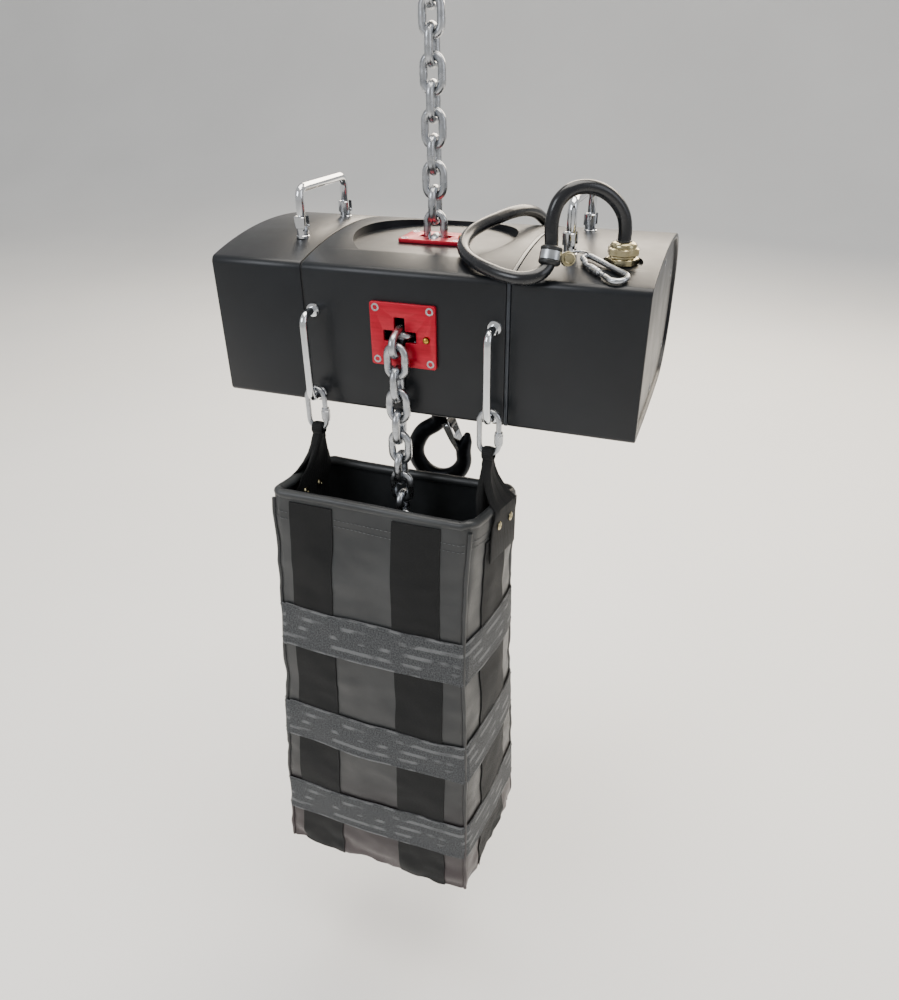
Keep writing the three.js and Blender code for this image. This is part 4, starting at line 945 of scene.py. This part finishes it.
# ---------------------------------------------------------------- cable, gland and clamp
# The cable's middle from the gland, through the clamp at the twelfth point, over the back.
ROUTE = [
    (180, 45.5, 27), (180, 45.5, 35), (178, 44.1, 46), (171.5, 39.4, 57.5), (161.5, 32.6, 66),
    (150, 24.6, 69.6), (139.4, 17.4, 67.6), (131.8, 12, 60), (128.6, 9.7, 50), (127.9, 9.1, 40),
    (128.4, 9.2, 30), (128.6, 7.4, 20), (127, 1.8, 11.4), (121, -6, 6.6), (110, -9.6, 4.6),
    (96, -7.6, 5.4), (82, -1.8, 7.4), (68.6, 6.8, 9.4), (56.5, 18.4, 11.8), (47, 33, 14.9),
    (42.8, 48.4, 18.2), (43, 64, 22), (48, 81, 25.6), (55.8, 100, 28.4), (63.6, 120, 30.4),
    (69.6, 140, 29.8), (73.8, 157, 26.6), (77, 171, 21.8), (80, 186.6, 13.6), (82, 202, 5.6),
    (83, 214.8, -6), (83.6, 224, -20.5), (84, 229.3, -37), (84, 230.6, -55), (84, 231, -80),
    (84, 231, -110), (84, 231, -140), (84, 231, -168),
]


def through(points, per):
    """A smooth line through points, evenly eased between them."""
    line = []
    for i in range(len(points) - 1):
        p1, p2 = points[i], points[i + 1]
        p0 = points[i - 1] if i else p1 * 2 - p2
        p3 = points[i + 2] if i + 2 < len(points) else p2 * 2 - p1
        d0, d1, d2 = (math.sqrt((b - a).length) for a, b in ((p0, p1), (p1, p2), (p2, p3)))
        m1 = ((p1 - p0) / d0 - (p2 - p0) / (d0 + d1) + (p2 - p1) / d1) * d1
        m2 = ((p2 - p1) / d1 - (p3 - p1) / (d1 + d2) + (p3 - p2) / d2) * d1
        for k in range(per):
            t = k / per
            line.append(
                p1 * (2 * t ** 3 - 3 * t ** 2 + 1) + m1 * (t ** 3 - 2 * t ** 2 + t)
                + p2 * (3 * t ** 2 - 2 * t ** 3) + m2 * (t ** 3 - t ** 2)
            )
    return line + [points[-1]]


EASE = 6
cable_line = through([at(*p) for p in ROUTE], EASE)
cable = merge("supply_cable", tube(cable_line, 0.0055, 20))
show(cable, "cable_sheath", "housing", ["power_cable"])

end_x, end_y, end_z = ROUTE[-1]
profile = [
    (0.02, -50), (9.6, -50), (9.8, -53.6), (11.6, -54), (12.2, -53.4), (12.2, -48), (13, -47.4),
]
for k in range(6):
    z = -46.6 + 2.1 * k
    profile += [(13.5, z), (13.5, z + 1), (12.9, z + 1.2), (12.9, z + 1.8)]
profile += [(12.6, -33.4), (11.2, -32), (11.2, -17), (10.4, -16)]
for k in range(6):
    r, z = 9.9 - 0.5 * k, -15 + 2.3 * k
    profile += [(r, z), (r, z + 1.2), (r - 1.1, z + 1.4), (r - 1.1, z + 2.1)]
profile += [(6.2, -0.4), (0.02, -0.3)]
connector = merge("inline_connector", turned(profile, at(end_x, end_y, end_z), (0, 0, 1), 40))
show(connector, "plastic", "housing", ["cable_connector"])

up = Vector((0, 0, 1))
gland_seat = at(*GLAND, GLAND_SEAT)
gland = merge(
    "nickel_gland",
    hexagonal(24, 6, gland_seat, up, 0.9, (1, 0.2, 0)),
    turned([(9, 5), (10.9, 5), (10.9, 8), (9, 8)], gland_seat, up, 40),
    hexagonal(24, 6.4, at(*GLAND, GLAND_SEAT + 7.5), up, 0.9, (1, -0.25, 0)),
    turned([
        (9.6, 13.6), (10.9, 13.8), (10.9, 15.2), (10.4, 16.4), (9.4, 17.4), (7.6, 18.1),
        (6.4, 18.3), (5.7, 18.0), (5.6, 12),
    ], gland_seat, up, 40),
    turned([(9.6, -8), (9.7, -7.6), (9.7, 0.4), (9.0, 0.5)], gland_seat, up, 40),
    hexagonal(26, 2.6, at(*GLAND, GLAND_SEAT - 9), up, 0.4),
)
show(gland, "nickel", "housing", ["cable_gland"])
seal = merge("gland_seal", turned(
    [(5.3, 17.4), (6.7, 17.8), (6.6, 18.9), (6.0, 19.3), (5.3, 19.3)], gland_seat, up, 32,
))
show(seal, "clamp_rubber", "housing")

CLAMPED = 11
near = CLAMPED * EASE
clamp_way = (cable_line[near + 1] - cable_line[near - 1]).normalized()
CLAMP = (
    Matrix.Translation(at(*ROUTE[CLAMPED]))
    @ Vector((0, 0, -1)).rotation_difference(clamp_way).to_matrix().to_4x4()
)
TURN = 0.5


def on_clamp(x, y, z):
    """A point of the clamp: x out along its ears, y across them, z along the cable."""
    turned_x = x * math.cos(TURN) - y * math.sin(TURN)
    turned_y = x * math.sin(TURN) + y * math.cos(TURN)
    return CLAMP @ Vector((turned_x / 1000, turned_y / 1000, z / 1000))


def clamp_band():
    """A strap of steel bent round the cable, its two ears side by side."""
    outer = []
    for k in range(41):
        angle = math.radians(14 + (360 - 28) * k / 40)
        outer.append((8.2 * math.cos(angle), 8.2 * math.sin(angle)))
    outline = [(19.4, 0.75), (10.2, 0.75), *outer, (10.2, -0.75), (19.4, -0.75)]
    rings = []
    for i, (x, y) in enumerate(outline):
        before, after = outline[max(i - 1, 0)], outline[min(i + 1, len(outline) - 1)]
        way = Vector((after[0] - before[0], after[1] - before[1])).normalized()
        out = Vector((way.y, -way.x)) * 0.55
        ring = []
        for side, z in ((1, -3.4), (1, 3.4), (-1, 3.4), (-1, -3.4)):
            pull = 2.2 if i in (0, len(outline) - 1) else 0
            ring.append(on_clamp(x + side * out.x, y + side * out.y, z * (1 - pull / 5)))
        rings.append(ring)
    return loft(rings)


def clamp_ring(radius, z):
    """A ring round the cable at the clamp."""
    return [on_clamp(x, y, z) for x, y in circle(0, 0, radius, 40)]


clamp = merge("steel_cable_clamp", clamp_band())
show(clamp, "zinc", "housing", ["cable_clamp"])
cushion = merge("clamp_cushion", loft([clamp_ring(radius, z) for radius, z in (
    (5.4, -7.2), (7.6, -7.2), (8.7, -6.2), (8.9, -4.4), (8.3, -3.6), (7.5, -3.4),
    (7.5, 3.4), (8.3, 3.6), (8.9, 4.4), (8.7, 6.2), (7.6, 7.2), (5.4, 7.2),
)]))
show(cushion, "clamp_rubber", "housing")
bolt_axis = (on_clamp(14.5, -1, 0) - on_clamp(14.5, 0, 0)).normalized()
bolt = merge(
    "clamp_bolt_and_nut",
    turned(
        [(1.9, -1), (2.4, -0.5), (2.4, 8.6), (1.7, 9.2), (0.02, 9.2)],
        on_clamp(14.5, 4.2, 0), bolt_axis, 24,
    ),
    turned(
        [(2.0, 0), (5.6, 0), (5.8, 0.3), (5.8, 0.9), (5.5, 1.1), (2.0, 1.1)],
        on_clamp(14.5, -1.4, 0), bolt_axis, 32,
    ),
    hexagonal(8, 3.4, on_clamp(14.5, -2.5, 0), bolt_axis, 0.5),
    turned([(2.0, 0), (5.6, 0), (5.6, 1.0), (2.0, 1.0)], on_clamp(14.5, 2.4, 0), bolt_axis, 32),
    hexagonal(8, 3.4, on_clamp(14.5, 5.9, 0), bolt_axis, 0.5),
)
show(bolt, "nickel", "housing", ["clamp_bolt"])


# ---------------------------------------------------------------- snap hook and its wire loop
SNAP_Y = 24.5
slope = math.atan2(DEPTH / 2 - SNAP_Y, top_at(SNAP_Y) - TOP[1])
SNAP = (
    Matrix.Translation(at(168.5, SNAP_Y, top_at(SNAP_Y) + 3.1))
    @ Matrix.Rotation(slope, 4, "X") @ Matrix.Rotation(-0.78, 4, "Z")
)


def on_snap(x, y, z=0.0):
    """A point of the snap hook: x along it, y across it, z up from the housing."""
    return SNAP @ Vector((x / 1000, y / 1000, z / 1000))


snap_frame = [on_snap(13, -7.7), on_snap(16, -7.7)]
for step in range(17):
    swing = math.radians(-90 + 172 * step / 16)
    snap_frame.append(on_snap(18.8 + 7.9 * math.cos(swing), 7.8 * math.sin(swing)))
for step in range(13):
    swing = math.radians(82 + 205 * step / 12)
    snap_frame.append(on_snap(-22.2 + 4.5 * math.cos(swing), 4.1 * math.sin(swing) - 0.2))
snap_frame.append(on_snap(-15.6, -7.2))
snap_up = (on_snap(0, 0, 1) - on_snap(0, 0, 0)).normalized()
show(merge(
    "snap_hook_frame", tube(snap_frame, 0.0023, 16, start=snap_up, rounded=True),
), "zinc", "housing", ["snap_hook"])
gate_way = (on_snap(1, 0) - on_snap(0, 0)).normalized()
gate = merge(
    "snap_hook_sleeve_gate",
    turned([(1.2, 0), (1.9, 0.4), (1.9, 23.6), (1.2, 24)], on_snap(-13.5, -7.7), gate_way, 20),
    turned([
        (2.0, 0), (2.7, 0.2), (2.9, 0.6), (2.9, 3.4), (2.6, 3.6), (2.6, 4.2), (2.9, 4.4), (2.9, 9.6),
        (2.6, 9.8), (2.6, 10.4), (2.9, 10.6), (2.9, 13.2), (2.7, 13.7), (2.0, 14),
    ], on_snap(-8, -7.7), gate_way, 28),
)
show(gate, "zinc", "snap_hook_gate", ["snap_hook_gate"])
wire_start = on_clamp(14.5, 6.4, 0)
wire_end = on_snap(-25.5, 0, 1.5)
wire_loop = through([wire_start.lerp(wire_end, share) + Vector(aside) for share, aside in (
    (0.0, (-0.003, -0.001, 0.002)), (0.0, (0.002, 0.006, 0.0045)), (0.5, (0.0035, 0.001, 0.005)),
    (1.0, (0.002, -0.002, 0.0025)), (1.0, (0.0, 0.003, 0.001)), (0.55, (-0.004, 0.001, 0.0035)),
    (0.0, (-0.004, 0.002, 0.0035)), (0.0, (-0.003, -0.001, 0.002)),
)], 8)
wire = merge("thin_wire_loop", tube(wire_loop[:-1], 0.0007, 10, closed=True))
show(wire, "zinc", "housing")


# ---------------------------------------------------------------- hooks
def hook_body(name, centre, sizes, flip, shank):
    """A forged hook: oval section, thickest in the bowl, with a lug that carries the latch."""
    throat, thick, thickness, tip = sizes
    middle = throat + thick / 2
    outer = throat + thick

    def spot(x, z, y=0.0):
        return centre + Vector((x / 1000, y / 1000, (-z if flip else z) / 1000))

    corners = [(0, shank), (0, outer * 1.3), (-1.5, outer * 1.0), (-middle * 0.62, middle * 0.88)]
    radii = [thick * 0.43, thick * 0.43, thick * 0.46, thick * 0.48]
    for k in range(9):
        angle = math.radians(150 + 225 * k / 8)
        corners.append((middle * math.cos(angle), middle * math.sin(angle)))
        radii.append(thick * (0.49 if k < 7 else 0.44))
    corners += [(middle * 1.02 + 1.5, tip * 0.72), (middle * 1.05 + 2.2, tip + 0.4)]
    radii += [thick * 0.34, thick * 0.17]
    line = through([spot(*c) for c in corners], 6)
    widths = []
    for i in range(len(line)):
        k, part = divmod(i, 6)
        after = radii[min(k + 1, len(radii) - 1)]
        widths.append((radii[k] + (after - radii[k]) * part / 6) / 1000)
    flat = thickness / thick
    rings = []
    for p, r, (tangent, side, updown) in zip(line, widths, frames(line, start=Vector((0, 1, 0)))):
        turns = [2 * math.pi * k / 28 for k in range(28)]
        rings.append([p + side * (r * math.cos(a)) + updown * (r * flat * math.sin(a)) for a in turns])
    end, onward = line[-1], (line[-1] - line[-3]).normalized()
    rings += [
        [end + (p - end) * share + onward * beyond for p in rings[-1]]
        for share, beyond in ((0.85, 0.0009), (0.5, 0.0016), (0.15, 0.0019))
    ]
    lug_x, lug_z = (8 if thick > 16 else 6.5) + 3.5, outer * 0.98
    half = thickness / 2
    lug = turned(
        [(3.2, 0), (4.6, 0.2), (5, 0.7), (5, 2 * half - 0.7), (4.6, 2 * half - 0.2), (3.2, 2 * half)],
        spot(lug_x, lug_z, -half), (0, 1, 0), 32,
    )
    web = tube([spot(0, lug_z - 1), spot(lug_x, lug_z)], 0.0046, 20)
    return merge(name, loft(rings), lug, web)


load_centre = at(0, CHAIN_Y, -215)
load_hook = hook_body("load_hook_forging", load_centre, (18.5, 19, 15, 27), False, 82)
show(load_hook, "hook_black", "load_hook", ["load_hook"])
top_centre = at(0, CHAIN_Y, 290)
top_hook = hook_body("top_hook_forging", top_centre, (15, 14, 12, 24), True, 50)
show(top_hook, "hook_black", "top_hook", ["top_hook"])
low_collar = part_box("hook_collar")
collar_base = Vector((0, (low_collar[0].y + low_collar[1].y) / 2, low_collar[0].z))
collar = merge("swivel_collar", turned([
    (9.4, 0), (20, 0), (22.6, 0.8), (24.6, 3.2), (25, 4.2), (25, 14.4), (24.4, 15), (13, 15),
    (13, 20), (9.4, 20),
], collar_base, up, 48))
show(collar, "cast_black", "housing", ["hook_collar"])
BOLT_CIRCLE, BOLT_HEAD = 0.0165, 0.0035
collar_bolts = []
for k in range(4):
    angle = math.radians(45 + 90 * k)
    aside = Vector((BOLT_CIRCLE * math.cos(angle), BOLT_CIRCLE * math.sin(angle), -BOLT_HEAD))
    collar_bolts.append(hexagonal(7, 3.5, collar_base + aside, up, 0.4))
show(merge("collar_bolts", *collar_bolts), "zinc", "housing")


# ---------------------------------------------------------------- quick links
def oval_link(x):
    """The link's wire from one side of its mouth round to the other."""
    centre = at(x, -11.5, -132.5)
    half, straight = 0.009, 0.0115
    mouth = -0.005
    local = [(half, mouth + 0.002), (half, straight)]
    for k in range(1, 17):
        a = math.pi * k / 16
        local.append((half * math.cos(a), straight + half * math.sin(a)))
    for k in range(17):
        a = math.pi + math.pi * k / 16
        local.append((half * math.cos(a), -straight + half * math.sin(a)))
    local.append((half, mouth - 0.002))
    return [centre + Vector((p, 0, q)) for p, q in local]


for side, x in (("left", -86), ("right", 86)):
    show(merge(
        f"{side}_oval_link", tube(oval_link(x), 0.0025, 16, start=Vector((0, 1, 0))),
    ), "zinc", "bag", [f"{side}_quick_link"])
    sleeve_foot = at(x + 9, -11.5, -142)
    show(merge(
        f"{side}_screw_sleeve",
        hexagonal(8.0, 9, sleeve_foot, up, 0.7),
        turned(
            [(2.9, -2), (3.6, -1.7), (3.7, 0), (3.7, 10), (3.6, 11), (2.9, 11)], sleeve_foot, up, 28,
        ),
    ), "zinc", f"{side}_link_sleeve", [f"{side}_link_sleeve"])


# ---------------------------------------------------------------- bag
# The walls' top and foot, the middle of the mouth from front to back, and the grey bands.
BAG_TOP, BAG_LOW, BAG_Y = -200.0, -680.0, -20.0
BANDS = (-350.0, -475.0, -592.0)


def lean(y, z):
    """How far the hanging bag stands off to one side there, in millimetres."""
    share = min(max((BAG_TOP - z) / (BAG_TOP - BAG_LOW), 0), 1)
    hung = min(max((z + 150) / -46, 0), 1)
    skew = 0.25 - 0.16 * min(share * 2.2, 1)
    return hung * (skew * (y - BAG_Y + 7 * share) - 5.5 - 7.5 * share)


def bag_sizes(z):
    """Half width, half depth, middle and share of the way down at a height."""
    share = (BAG_TOP - z) / (BAG_TOP - BAG_LOW)
    wide = 104 - 4 * math.sin(math.pi * min(max(share, 0) * 1.6, 1)) + 9 * share ** 2
    deep = 42 + 28 * math.sin(min(max(share, 0), 1) * math.pi / 2)
    return wide, deep, BAG_Y - 7 * share, share


def bag_flat(u, z):
    """The undented wall: a point (X, Y) and its outward direction; u runs 0 to 8 round the bag."""
    wide, deep, middle, share = bag_sizes(z)
    radius = 14 - 7 * min(max(share * 3, 0), 1)
    side, part = divmod(u % 8, 1)
    side = int(side)
    belly = math.sin(math.pi * min(max(share, 0), 1)) ** 0.7
    across = 2 * part - 1
    bow = (1 - across ** 2) * belly
    if side == 0:
        return (across * (wide - radius), middle - deep - 5 * bow), (0, -1)
    if side == 2:
        return (wide + 3 * bow, middle + across * (deep - radius)), (1, 0)
    if side == 4:
        return (-across * (wide - radius), middle + deep + 3 * bow), (0, 1)
    if side == 6:
        return (-wide - 3 * bow, middle - across * (deep - radius)), (-1, 0)
    corner = {1: (1, -1, -90), 3: (1, 1, 0), 5: (-1, 1, 90), 7: (-1, -1, 180)}[side]
    angle = math.radians(corner[2] + 90 * part)
    out = (math.cos(angle), math.sin(angle))
    x = corner[0] * (wide - radius) + radius * out[0]
    return (x, middle + corner[1] * (deep - radius) + radius * out[1]), out


def bag_dent(x, y, z):
    """How far the cloth stands in or out there, in millimetres."""
    share = (BAG_TOP - z) / (BAG_TOP - BAG_LOW)
    calm = 1.0
    for band in BANDS:
        calm = min(calm, 0.35 + 0.65 * min(abs(z - band) / 38, 1))
    broad = noise.noise(Vector((x / 75, y / 75, z / 58 + 3)))
    fold = noise.noise(Vector((x / 26 + 9, y / 26, z / 40)))
    crease = abs(noise.noise(Vector((x / 38 + z / 90, y / 38 + 5, z / 24))))
    foot = max(0.0, (share - 0.84) / 0.16)
    top = min(max(share, 0) * 9, 1)
    size = (3.2 * broad + 1.5 * fold - 1.7 * crease) * calm * top
    return size + foot * (4.5 * noise.noise(Vector((x / 17, y / 17, z / 21))) - 2.5 * crease)


def bag_point(u, z, out=0.0):
    """A place on the cloth, or the given distance out from it."""
    (x, y), (nx, ny) = bag_flat(u, z)
    off = out + bag_dent(x, y, z)
    lift = 0.0
    if z < -640:
        lift = (z + 640) / 40 * (3.5 * noise.noise(Vector((x / 30, y / 30, 4.0))) + 1.0)
    flat_y = y + ny * off
    return at(x + nx * off + lean(flat_y, z), flat_y, z - lift)


def bag_turns(per=(30, 5, 16, 5, 30, 5, 16, 5)):
    """Steps of u round the bag: walls and corners in turn."""
    return [side + k / n for side, n in enumerate(per) for k in range(n)]


CLOTH = 1.4


def bag_cloth():
    """Outer and inner skins of the coated cloth, joined over the rim and closed below."""
    turns = bag_turns()
    levels = [-206 - 4.0 * k for k in range(118)]
    rings = [[bag_point(u, z) for u in turns] for z in levels]
    low = levels[-1]
    foot = []
    for inset, drop in ((2, 2.5), (6, 4.5), (14, 5.0), (34, 4.0)):
        foot.append([bag_point(u, low, -inset) - Vector((0, 0, drop / 1000)) for u in turns])
    inner = [[bag_point(u, z, -CLOTH) for u in turns] for z in levels[::3]]
    inner_foot = []
    for inset, drop in ((3, 2.5), (14, 5.0), (34, 4.0)):
        fall = Vector((0, 0, (drop - CLOTH) / 1000))
        inner_foot.append([bag_point(u, low, -inset - CLOTH) - fall for u in turns])
    return loft(foot[::-1] + rings[::-1] + inner + inner_foot)


bag = merge("bag_cloth_body", bag_cloth())
show(bag, "bag_plastic", "bag", ["bag_shell"])

rim_turns = [8 * k / 240 for k in range(240)]
rim_line = [bag_point(u, -204.2, -3.6) + Vector((0, 0, 0.0007 * math.sin(u * 5.1))) for u in rim_turns]
rim_size = [0.0047 + 0.00025 * noise.noise(p * 90) for p in rim_line]
show(merge(
    "hemmed_rim", tube(rim_line, rim_size, 16, closed=True, start=Vector((0, 0, 1))),
), "bag_plastic", "bag", ["bag_rim"])


def strip(points_of, count, thick, width_steps, closed=False):
    """Webbing: points_of(along, across, out) for shares of its length and width."""
    rings = []
    section = [(k / width_steps, thick) for k in range(width_steps + 1)]
    section += [(1 - k / width_steps, 0.0) for k in range(width_steps + 1)]
    section = [(0.006 + 0.988 * across, out) for across, out in section]
    for i in range(count if closed else count + 1):
        rings.append([points_of(i / count, a, o) for a, o in section])
    return loft(rings, closed=closed)


def sway(u, level):
    """How far a hand-sewn band wanders up or down, in millimetres."""
    return 1.6 * math.sin(u * 1.7 + level) + 1.0 * math.sin(u * 3.9)


def hoop(name, level, width, out, thick):
    """A band of webbing sewn right round the bag."""
    def place(along, across, off):
        u = along * 8
        return bag_point(u, level + (0.5 - across) * width + sway(u, level), out + off)
    return merge(name, strip(place, 220, thick, 8, closed=True))


def riser(name, u1, u2, top, low, out, thick):
    """A strip of webbing sewn down a wall of the bag."""
    def place(along, across, off):
        return bag_point(u1 + (u2 - u1) * across, top + (low - top) * along, out + off)
    return merge(name, strip(place, 110, thick, 8))


def front_turn(x):
    """u on the front wall for a place X along it, half way down the bag."""
    wide = bag_sizes(-400)[0] - 8
    return (x / wide + 1) / 2


for name, left, right_edge in (("left", -84, -36), ("right", 28, 78)):
    u1, u2 = front_turn(left), front_turn(right_edge)
    show(riser(f"{name}_front_webbing", u1, u2, -209, -674, 0.3, 1.0), "webbing", "bag")
    show(riser(f"{name}_back_webbing", 5 - u2, 5 - u1, -209, -674, 0.3, 1.0), "webbing", "bag")
for name, start in (("right", 2), ("left", 6)):
    show(riser(f"{name}_side_webbing", start + 0.22, start + 0.78, -232, -674, 0.3, 1.0), "webbing", "bag")
for index, level in enumerate(BANDS):
    show(hoop(f"grey_webbing_hoop_{index + 1}", level, 50, 1.2, 1.4), "grey_webbing", "bag")


def bound_corner(u, out):
    """A folded binding sewn down a corner of the bag."""
    line = [bag_point(u, z, out) for z in [-210 - 4.0 * k for k in range(117)]]
    return tube(line, [0.0021 + 0.0002 * math.sin(k * 0.7) for k in range(len(line))], 10)


bindings = merge("corner_bindings", *[bound_corner(u, 0.8) for u in (1.5, 3.5, 5.5, 7.5)])
show(bindings, "bag_plastic", "bag")


def stitches(line, spacing=4.4, length=2.9, radius=0.36):
    """Short raised threads along a line of points."""
    shapes = []
    walked, goal = 0.0, 0.0
    for a, b in zip(line, line[1:]):
        step = (b - a).length * 1000
        while walked + step >= goal:
            start = a.lerp(b, (goal - walked) / step if step else 0)
            way = (b - a).normalized() * (length / 1000)
            middle = start + way / 2
            shapes.append(tube([start, start + way * 0.25, start + way * 0.75, start + way],
                               [radius / 3000, radius / 1000, radius / 1000, radius / 3000], 5))
            goal += spacing
        walked += step
    return shapes


STITCH_STEPS = 400


def hem_line(level, wander):
    """The line of a row of stitches round the hem."""
    turns = [8 * k / STITCH_STEPS for k in range(STITCH_STEPS + 1)]
    return [bag_point(u, level + wander * math.sin(u * 4.3), 0.5) for u in turns]


def band_line(level, edge):
    """The line of a row of stitches along a band."""
    turns = [8 * k / STITCH_STEPS for k in range(STITCH_STEPS + 1)]
    return [bag_point(u, level + edge + sway(u, level), 2.75) for u in turns]


hem_stitches = stitches(hem_line(-221, 1.4)) + stitches(hem_line(-228, 1.8))
show(merge("hem_stitching", *hem_stitches), "thread", "bag")
hoop_stitches = []
for level in BANDS:
    for edge in (-21.5, 21.5):
        hoop_stitches += stitches(band_line(level, edge))
show(merge("hoop_stitching", *hoop_stitches), "thread", "bag")


# ---------------------------------------------------------------- lifting straps
def strap(name, sign):
    """Webbing gathered at the link, fanned out and riveted outside and inside the bag's wall."""
    def layer(stations):
        """A leaf of webbing through stations of X, Z, half thickness, half width and crumple."""
        rings = []
        for x, z, half_x, half_y, fold in stations:
            ring = []
            for k in range(40):
                a = 2 * math.pi * k / 40
                cx, cy = math.cos(a), math.sin(a)
                px = half_x * math.copysign(abs(cx) ** 0.5, cx)
                py = half_y * math.copysign(abs(cy) ** 0.5, cy)
                crumple = fold * math.sin(py / half_y * 7.5)
                ring.append(at(sign * (x + px + crumple) + lean(-11.5 + py, z), -11.5 + py, z))
            rings.append(ring)
        return loft(rings)
    eye = [
        at(sign * 86, -11.5 + 5.4 * math.cos(a), -153 + 5.4 * math.sin(a))
        for a in (2 * math.pi * k / 28 for k in range(28))
    ]
    eye_rings = []
    for p, (_, side_way, up_way) in zip(eye, frames(eye, True, Vector((1, 0, 0)))):
        turns = [2 * math.pi * k / 16 for k in range(16)]
        eye_rings.append([
            p + side_way * (0.0014 * math.cos(a)) + up_way * (0.0055 * math.sin(a)) for a in turns
        ])
    outer = layer([
        (86, -157, 4.6, 5.0, 0.3), (86.3, -162, 4.8, 6.2, 0.8), (87.6, -169, 3.6, 9.0, 1.1),
        (90.6, -178, 2.6, 11.0, 1.2), (95.5, -188, 2.0, 13.5, 1.0), (101, -197, 1.5, 16.0, 0.7),
        (106.6, -203, 1.2, 18.0, 0.3), (106.9, -210, 1.2, 19.5, 0.1), (105.6, -218, 1.2, 21, 0.0),
        (105.4, -236, 1.2, 23, 0.0), (105.4, -256, 1.2, 24, 0.0), (105.4, -257, 0.6, 23.6, 0.0),
    ])
    inner = layer([
        (86, -158, 4.2, 4.6, 0.3), (86, -166, 3.6, 7.5, 0.8), (86.4, -178, 2.4, 12.5, 1.1),
        (87.8, -190, 1.7, 17.5, 0.9), (90.6, -199, 1.2, 21, 0.5), (92.2, -206, 1.1, 23, 0.2),
        (94.5, -212, 1.1, 24.2, 0.1), (97.6, -218, 1.1, 25, 0.0), (98.3, -230, 1.1, 25, 0.0),
        (98.3, -243, 1.1, 25, 0.0), (98.3, -244, 0.6, 24.6, 0.0),
    ])
    return merge(name, loft(eye_rings, closed=True), outer, inner)


DOME = [
    (0.02, 0), (4.4, 0), (4.5, 0.4), (4.2, 1.0), (3.3, 1.7), (2.0, 2.1), (1.6, 1.9), (1.1, 1.2),
    (0.02, 1.0),
]
for side, sign in (("left", -1), ("right", 1)):
    show(strap(f"{side}_lifting_strap", sign), "webbing", "bag", [f"{side}_strap"])
    heads = []
    for y in (-21.5, -1.5):
        aside = lean(y, -221)
        heads.append(turned(DOME, at(sign * 106.4 + aside, y, -221), (sign, 0, 0), 28))
        heads.append(turned(DOME, at(sign * 96.8 + aside, y, -221), (-sign, 0, 0), 28))
    show(merge(f"{side}_strap_rivets", *heads), "nickel", "bag")


# ---------------------------------------------------------------- heap of chain in the bag
def heap():
    """Loose links lying on a mass that fills the foot of the bag, clear of the hanging chain."""
    rng = random.Random(17)
    shapes = []
    for _ in range(120):
        x, y = rng.uniform(-72, 66), rng.uniform(-64, 14)
        if math.hypot(x, y + 13.5) < 26:
            continue
        rise = 8 * (1 - (x / 90) ** 2) * (1 - ((y + 26) / 60) ** 2)
        lie = Vector((rng.uniform(-1, 1), rng.uniform(-1, 1), rng.uniform(-0.35, 0.35))).normalized()
        side = lie.cross(Vector((rng.uniform(-0.6, 0.6), rng.uniform(-0.6, 0.6), 1))).normalized()
        place = at(x + lean(y, -508), y, -515 + rise + rng.uniform(-6, 3))
        shapes.append(chain_link(place, lie, side))
    levels = [(-506, 30), (-512, 22), (-520, 16)] + [(-530 - 9 * k, 13) for k in range(16)]
    turns = bag_turns((10, 2, 6, 2, 10, 2, 6, 2))
    mass = [[bag_point(u, z, -inset) for u in turns] for z, inset in levels]
    return merge("heaped_chain_links", loft(mass), *shapes)


show(heap(), "heaped_chain", "bag", ["chain_pile"])


# ---------------------------------------------------------------- frame nodes left in view
for node, obj in frame["nodes"].items():
    entry = next(p for p in frame["record"]["subparts"] if p["node"] == node)
    obj.data.materials.clear()
    obj.data.materials.append(FINISHES[entry["material_slot"]])


# ---------------------------------------------------------------- floor and light
def panel(name, place, target, size, power, colour):
    """A soft rectangular light that faces a target."""
    lamp = bpy.data.lights.new(name, "AREA")
    lamp.shape = "RECTANGLE"
    lamp.size, lamp.size_y = size
    lamp.energy = power
    lamp.color = linear(colour)[:3]
    obj = bpy.data.objects.new(name, lamp)
    bpy.context.scene.collection.objects.link(obj)
    obj.location = place
    obj.rotation_euler = (Vector(target) - Vector(place)).to_track_quat("-Z", "Y").to_euler()


# The floor lies below the hanging bag and curves up into a backdrop.
low = Vector(CAD_BOX[0]).z - 0.18
sweep = [(-12.0, low), (3.0, low)]
for k in range(1, 21):
    angle = math.pi * k / 40
    sweep.append((3.0 + 3 * math.sin(angle), low + 3 - 3 * math.cos(angle)))
sweep.append((6.0, low + 9.0))
corners = [(x, y, z) for y, z in sweep for x in (-14.0, 14.0)]
strips = [(2 * k, 2 * k + 1, 2 * k + 3, 2 * k + 2) for k in range(len(sweep) - 1)]
floor = make("floor", corners, strips)
for face in floor.data.polygons:
    face.use_smooth = True
paint = Finish("pale_floor", "#F4F4F3", 0.85)
paint.link(paint.shade(paint.grain(900, 3), "#F1F1F0", "#F7F7F6"), "Base Color")
floor.data.materials.append(paint.material)
middle = at(0, 90, -150)
panel("overhead_softbox", (0.1, 0.2, 1.7), middle, (2.4, 1.6), 70, "#FFFAF2")
panel("rear_softbox", (0.3, 2.6, 1.1), middle, (3.4, 1.4), 150, "#FFF1DC")
panel("front_softbox", (-1.2, -1.9, 0.9), middle, (1.2, 1.2), 26, "#F4F8FF")
panel("side_softbox", (2.0, -0.4, 0.4), middle, (0.8, 1.4), 7, "#F2F6FF")
world = bpy.data.worlds.new("studio")
world.use_nodes = True
world.node_tree.nodes["Background"].inputs[0].default_value = linear("#FFFFFF")
world.node_tree.nodes["Background"].inputs[1].default_value = 0.55
bpy.context.scene.world = world
